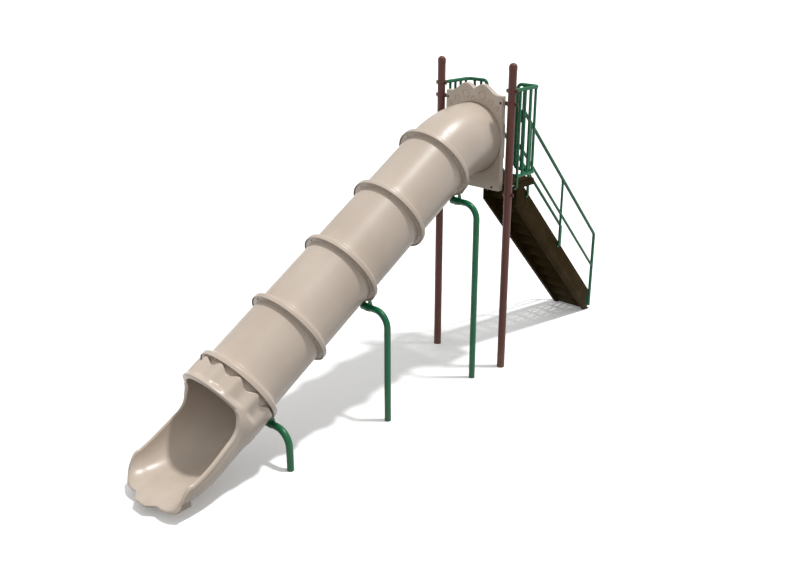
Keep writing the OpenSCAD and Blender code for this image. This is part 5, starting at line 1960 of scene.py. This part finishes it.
@dataclass
class Railings(Assembly):
    """The green guard barriers, handrails and their plates."""

    barrier_h: float = 1041.0
    barrier_low: float = 81.0
    handrail_h: float = 812.0
    mid_rail_h: float = 363.0
    bar_pitch: float = 96.0
    rail_r: float = 20.0
    mid_rail_r: float = 17.0
    bar_r: float = 15.8
    leg_off: float = 110.5
    far_off: float = 27.0
    loop_bend: float = 52.0
    loop_in: float = 28.0
    clamp_t: float = 5.5
    first_bar: float = 92.0
    last_bar: float = 40.0
    inner_bar: float = 45.0
    back_off: float = 65.0
    foot_drop: float = 34.0
    foot_low: float = 46.0
    foot_bend: float = 18.0
    flank_bolt: float = 60.0
    rear_bolt: float = 55.0
    leg_tail: float = 50.0
    grab_drop: float = 76.0
    front_off: float = 9.0
    rail_foot: float = 58.0
    rail_bend: float = 72.0
    upright_share: Pair = (0.113, 0.532)
    upright_tail: float = 50.0
    upright_bolt: float = 62.0
    bead_w: float = 4.5
    bead_low: float = 17.0
    bead_tall: float = 1.6
    bead: tuple[Pair, ...] = ((4.5, -4.0), (4.2, -1.0), (2.6, 1.6), (0.8, 3.4), (0.0, 5.0))

    def bar(self, low: float, high: float) -> Mesh:
        """Upright bar with a weld bead at each end, standing on the origin.

        Args:
            low: Height of its lower rail, or zero for a plain lower end.
            high: Height of its upper rail.

        Returns:
            The mesh.
        """
        bead = [(self.bar_r + a, self.rail_r + b) for a, b in self.bead]
        outline = [(0.0, low), (self.bar_r, low)]
        outline += [(a, low + b) for a, b in bead] if low > 0 else []
        outline += [(a, high - b) for a, b in reversed(bead)] + [(self.bar_r, high), (0.0, high)]
        return self.bench.lathe(outline, Matrix(), 20)

    def bars(self, low: float, high: float, **line: object) -> Mesh:
        """Row of bars between two rails.

        Args:
            low: Height of the lower rail.
            high: Height of the upper rail.
            line: Count, Start and Step of the row.

        Returns:
            The mesh.
        """
        return self.bench.repeat(self.bench.row, self.bar(low, high), "Piece", Finish.RAIL_GREEN,
                                 **line)

    def barrier(self, side: int) -> Mesh:
        """One barrier: looped rail, two rows of bars, the post leg and its feet.

        Args:
            side: 1 for the left side and -1 for the right.

        Returns:
            The mesh.
        """
        z, tube = self.sizes, self.bench.tube
        y, e = side * z.post_y, side * (z.stair_w / 2 - self.loop_in)
        top, low = z.deck_h + self.barrier_h, z.deck_h + self.barrier_low
        x0, leg_x = z.post_r + self.clamp_t + z.slip, z.post_r + self.leg_off
        far = z.deck_rear - self.far_off
        back_y = side * (z.rail_y + self.back_off)
        parts = [tube([(x0, y, top), (far, y, top), (far, e, top), (far, e, low), (far, y, low),
                       (leg_x - self.bar_r, y, low)], self.rail_r, self.loop_bend)]
        start, inner = leg_x + self.first_bar, z.rail_y + self.inner_bar
        mid = (z.post_y + inner) / 2
        count = int((far - self.last_bar - start) // self.bar_pitch) + 1
        parts.append(self.bars(low, top, Count=count, Start=(start, y, 0.0),
                               Step=(self.bar_pitch, 0.0, 0.0)))
        parts.append(self.bars(low, top, Count=2, Start=(far, side * mid, 0.0),
                               Step=(0.0, side * (inner - mid), 0.0)))
        leg = self.bar(0.0, top - z.deck_h + self.leg_tail)
        leg.transform(Matrix.Translation((leg_x, y, z.deck_h - self.leg_tail)))
        parts.append(leg)
        knee, foot_x = low - self.foot_drop, z.deck_rear + z.bar_r + 4
        parts.append(tube([(far, back_y, low), (far, back_y, knee), (foot_x, back_y, knee),
                           (foot_x, back_y, z.deck_h - self.foot_low)], self.bar_r,
                          self.foot_bend, 20))
        r = z.bar_r + 5
        disc = [(0, 0), (r, 0), (r + 1, 1), (r + 1, 6), (r, 7), (0, 7)]
        flank = (leg_x, side * (z.deck_w / 2 + z.slip), z.deck_h - self.flank_bolt)
        rear = (z.deck_rear + z.slip, back_y, z.deck_h - self.rear_bolt)
        for place in (standing(flank, -90 * side, "X"), standing(rear, 90, "Y")):
            parts.append(self.bench.lathe(disc, place, 32))
        return self.bench.join(parts)

    def handrail(self, side: int) -> Mesh:
        """One handrail with its middle rail and its uprights with their beads and feet.

        Args:
            side: 1 for the left side and -1 for the right.

        Returns:
            The mesh.
        """
        z, tube = self.sizes, self.bench.tube
        y = side * z.rail_y
        plate_x = z.deck_rear - self.far_off + z.rail_r + z.slip
        back, knee = plate_x + 6, plate_x + 20
        grab = z.deck_h + self.handrail_h - self.grab_drop
        x_top = z.deck_rear + (z.deck_h - z.edge_drop + self.handrail_h - grab) / z.stair_slope
        front = z.stair_end + self.front_off - (self.rail_r - z.rail_r)
        mid = z.edge_z(knee) + self.mid_rail_h
        parts = [
            tube([(back, y, grab), (x_top, y, grab), (front, y, z.edge_z(front) + self.handrail_h),
                  (front, y, self.rail_foot)], self.rail_r, self.rail_bend),
            tube([(back, y, mid), (knee, y, mid), (front, y, z.edge_z(front) + self.mid_rail_h)],
                 self.mid_rail_r, 24, 24)]
        ring = arc(self.bar_r + 1, 0, self.bead_w, -90, 270, 12)[:-1]
        disc = [(0, -6), (16.2, -6), (17, -5), (17, 0), (16.2, 1), (0, 1)]
        for share in self.upright_share:
            x = z.deck_rear + (z.stair_end - z.deck_rear) * share
            edge = z.edge_z(x)
            parts.append(tube([(x, y, edge - self.upright_tail), (x, y, edge + self.handrail_h)],
                              self.bar_r, 0, 20))
            for h in (self.handrail_h - 4, self.mid_rail_h - 4):
                place = Matrix.Translation((x, y, edge + h - self.bead_low))
                parts.append(self.bench.turn([(r, w * self.bead_tall) for r, w in ring], place,
                                             Finish.RAIL_GREEN, 24))
            foot = (x, side * (z.stair_w / 2 + z.slip + 6), edge - self.upright_bolt)
            parts.append(self.bench.lathe(disc, standing(foot, -90 * side, "X"), 32))
        return self.bench.join(parts)

    def build(self) -> None:
        """Makes both barriers and handrails and dresses their plates and bolts."""
        for side, name in ((1, "left"), (-1, "right")):
            for kind, make in (("barrier", self.barrier), ("handrail", self.handrail)):
                node = f"{kind}_{name}"
                self.bench.piece(f"{node}_frame", make(side), Finish.RAIL_GREEN, [node])
        self.bench.soften("handrail_plates", Finish.RAIL_GREEN, 1.2)
        self.bench.dress("rail_bolts", Finish.RAIL_GREEN)


@dataclass
class Legs(Assembly):
    """The three bent support legs and the saddles that carry the tube."""

    leg_r: float = 35.0
    leg_wall: float = 3.0
    leg_y: float = 435.0
    bend_r: float = 165.0
    arm_end: float = 75.0
    past_joint: float = 15.0
    strap_t: float = 11.0

    def build(self) -> None:
        """Makes the legs and saddles and dresses their bolts."""
        z = self.sizes
        below = z.bell_r + self.strap_t + self.leg_r
        for name, joint in (("upper", 0), ("middle", 2), ("lower", 4)):
            p = z.axis(z.joints[joint] + self.past_joint) - below * z.up
            path = [(p[0], -self.leg_y, 0.0), (p[0], -self.leg_y, p[2]),
                    (p[0], -self.arm_end, p[2])]
            leg = self.bench.tube(path, self.leg_r, self.bend_r, 40, self.leg_r - self.leg_wall)
            self.bench.piece(f"leg_{name}_tube", leg, Finish.RAIL_GREEN, [f"leg_{name}"])
            self.bench.soften(f"saddle_{name}", Finish.RAIL_GREEN, 1.4)
        self.bench.dress("saddle_bolts", Finish.BOLT_STEEL)


@dataclass
class Studio:
    """Pale floor, soft light and a camera at the angle of the photograph."""

    lens: float = 40.25
    sensor: float = 36.0
    azimuth: float = 43.32
    pitch: float = 20.29
    place: Triple = (-7883.3, -6280.6, 4654.8)
    far: float = 600.0
    sun_strength: float = 2.4
    sun_angle: float = 4.0
    sun_slant: float = 0.303
    sky_strength: float = 0.66
    ground_strength: float = 0.22
    horizon: Pair = (-0.25, 0.05)
    floor_size: float = 260.0
    floor_tone: float = 0.93
    floor_glow: float = 0.13

    def floor(self) -> None:
        """Makes the floor."""
        size = self.floor_size
        mesh = bpy.data.meshes.new("floor")
        corners = [(-size, -size, 0), (size, -size, 0), (size, size, 0), (-size, size, 0)]
        mesh.from_pydata(corners, [], [(0, 1, 2, 3)])
        floor = bpy.data.objects.new("floor", mesh)
        bpy.context.scene.collection.objects.link(floor)
        pale = bpy.data.materials.new("pale floor")
        pale.use_nodes = True
        tone = self.floor_tone
        for name, value in (
                ("Base Color", (tone, tone, tone, 1.0)), ("Roughness", 0.9),
                ("Specular IOR Level", 0.1), ("Emission Color", (1.0, 1.0, 0.985, 1.0)),
                ("Emission Strength", self.floor_glow)):
            pale.node_tree.nodes["Principled BSDF"].inputs[name].default_value = value
        mesh.materials.append(pale)
        floor.visible_diffuse = False

    def sky(self) -> None:
        """Makes the soft light from all sides, weaker from below."""
        world = bpy.data.worlds.new("studio")
        world.use_nodes = True
        tree = world.node_tree
        where = add_node(tree, "ShaderNodeTexCoord").outputs["Generated"]
        split = add_node(tree, "ShaderNodeSeparateXYZ", Vector=where)
        level = add_node(tree, "ShaderNodeMapRange", Value=split.outputs["Z"],
                         From_Min=self.horizon[0], From_Max=self.horizon[1],
                         To_Min=self.ground_strength, To_Max=self.sky_strength)
        light = tree.nodes["Background"]
        light.inputs["Color"].default_value = (1.0, 1.0, 1.0, 1.0)
        tree.links.new(level.outputs["Result"], light.inputs["Strength"])
        bpy.context.scene.world = world

    def stand(self, name: str, data: bpy.types.ID, look: Vector) -> bpy.types.Object:
        """Stands a lamp or a camera in the scene.

        Args:
            name: Its name.
            data: The lamp or the camera.
            look: The direction that it looks in.

        Returns:
            The object.
        """
        item = bpy.data.objects.new(name, data)
        item.rotation_euler = look.to_track_quat("-Z", "Y").to_euler()
        bpy.context.scene.collection.objects.link(item)
        return item

    def build(self, bench: Bench) -> None:
        """Makes the floor, the lights and the camera.

        Args:
            bench: The bench, which knows where the posts stand.
        """
        scene = bpy.context.scene
        scene.view_settings.view_transform = "Standard"
        self.floor()
        self.sky()
        sun = bpy.data.lights.new("overhead light", "SUN")
        sun.energy = self.sun_strength
        sun.angle = math.radians(self.sun_angle)
        a, b = math.radians(self.azimuth), math.radians(self.pitch)
        slant = self.sun_slant
        self.stand("overhead light", sun, Vector((-math.sin(a) * slant, math.cos(a) * slant, -1.0)))
        lens = bpy.data.cameras.new("camera")
        lens.lens = self.lens
        lens.sensor_width = self.sensor
        lens.sensor_fit = "HORIZONTAL"
        lens.clip_end = self.far
        look = Vector((math.cos(a) * math.cos(b), math.sin(a) * math.cos(b), -math.sin(b)))
        scene.camera = self.stand("camera", lens, look)
        scene.camera.location = bench.shift @ Vector(self.place)


def main() -> None:
    """Builds the studio and every sub-assembly in order."""
    logging.basicConfig(level=logging.INFO, format="%(name)s %(message)s")
    bench = Bench(Sizes())
    Studio().build(bench)
    for maker in (Posts, TubeRun, ExitChute, EntrancePanel, Platform, Railings, Legs):
        maker(bench).build()
        log.info("finished %s", maker.__name__)


if __name__ == "__main__":
    main()
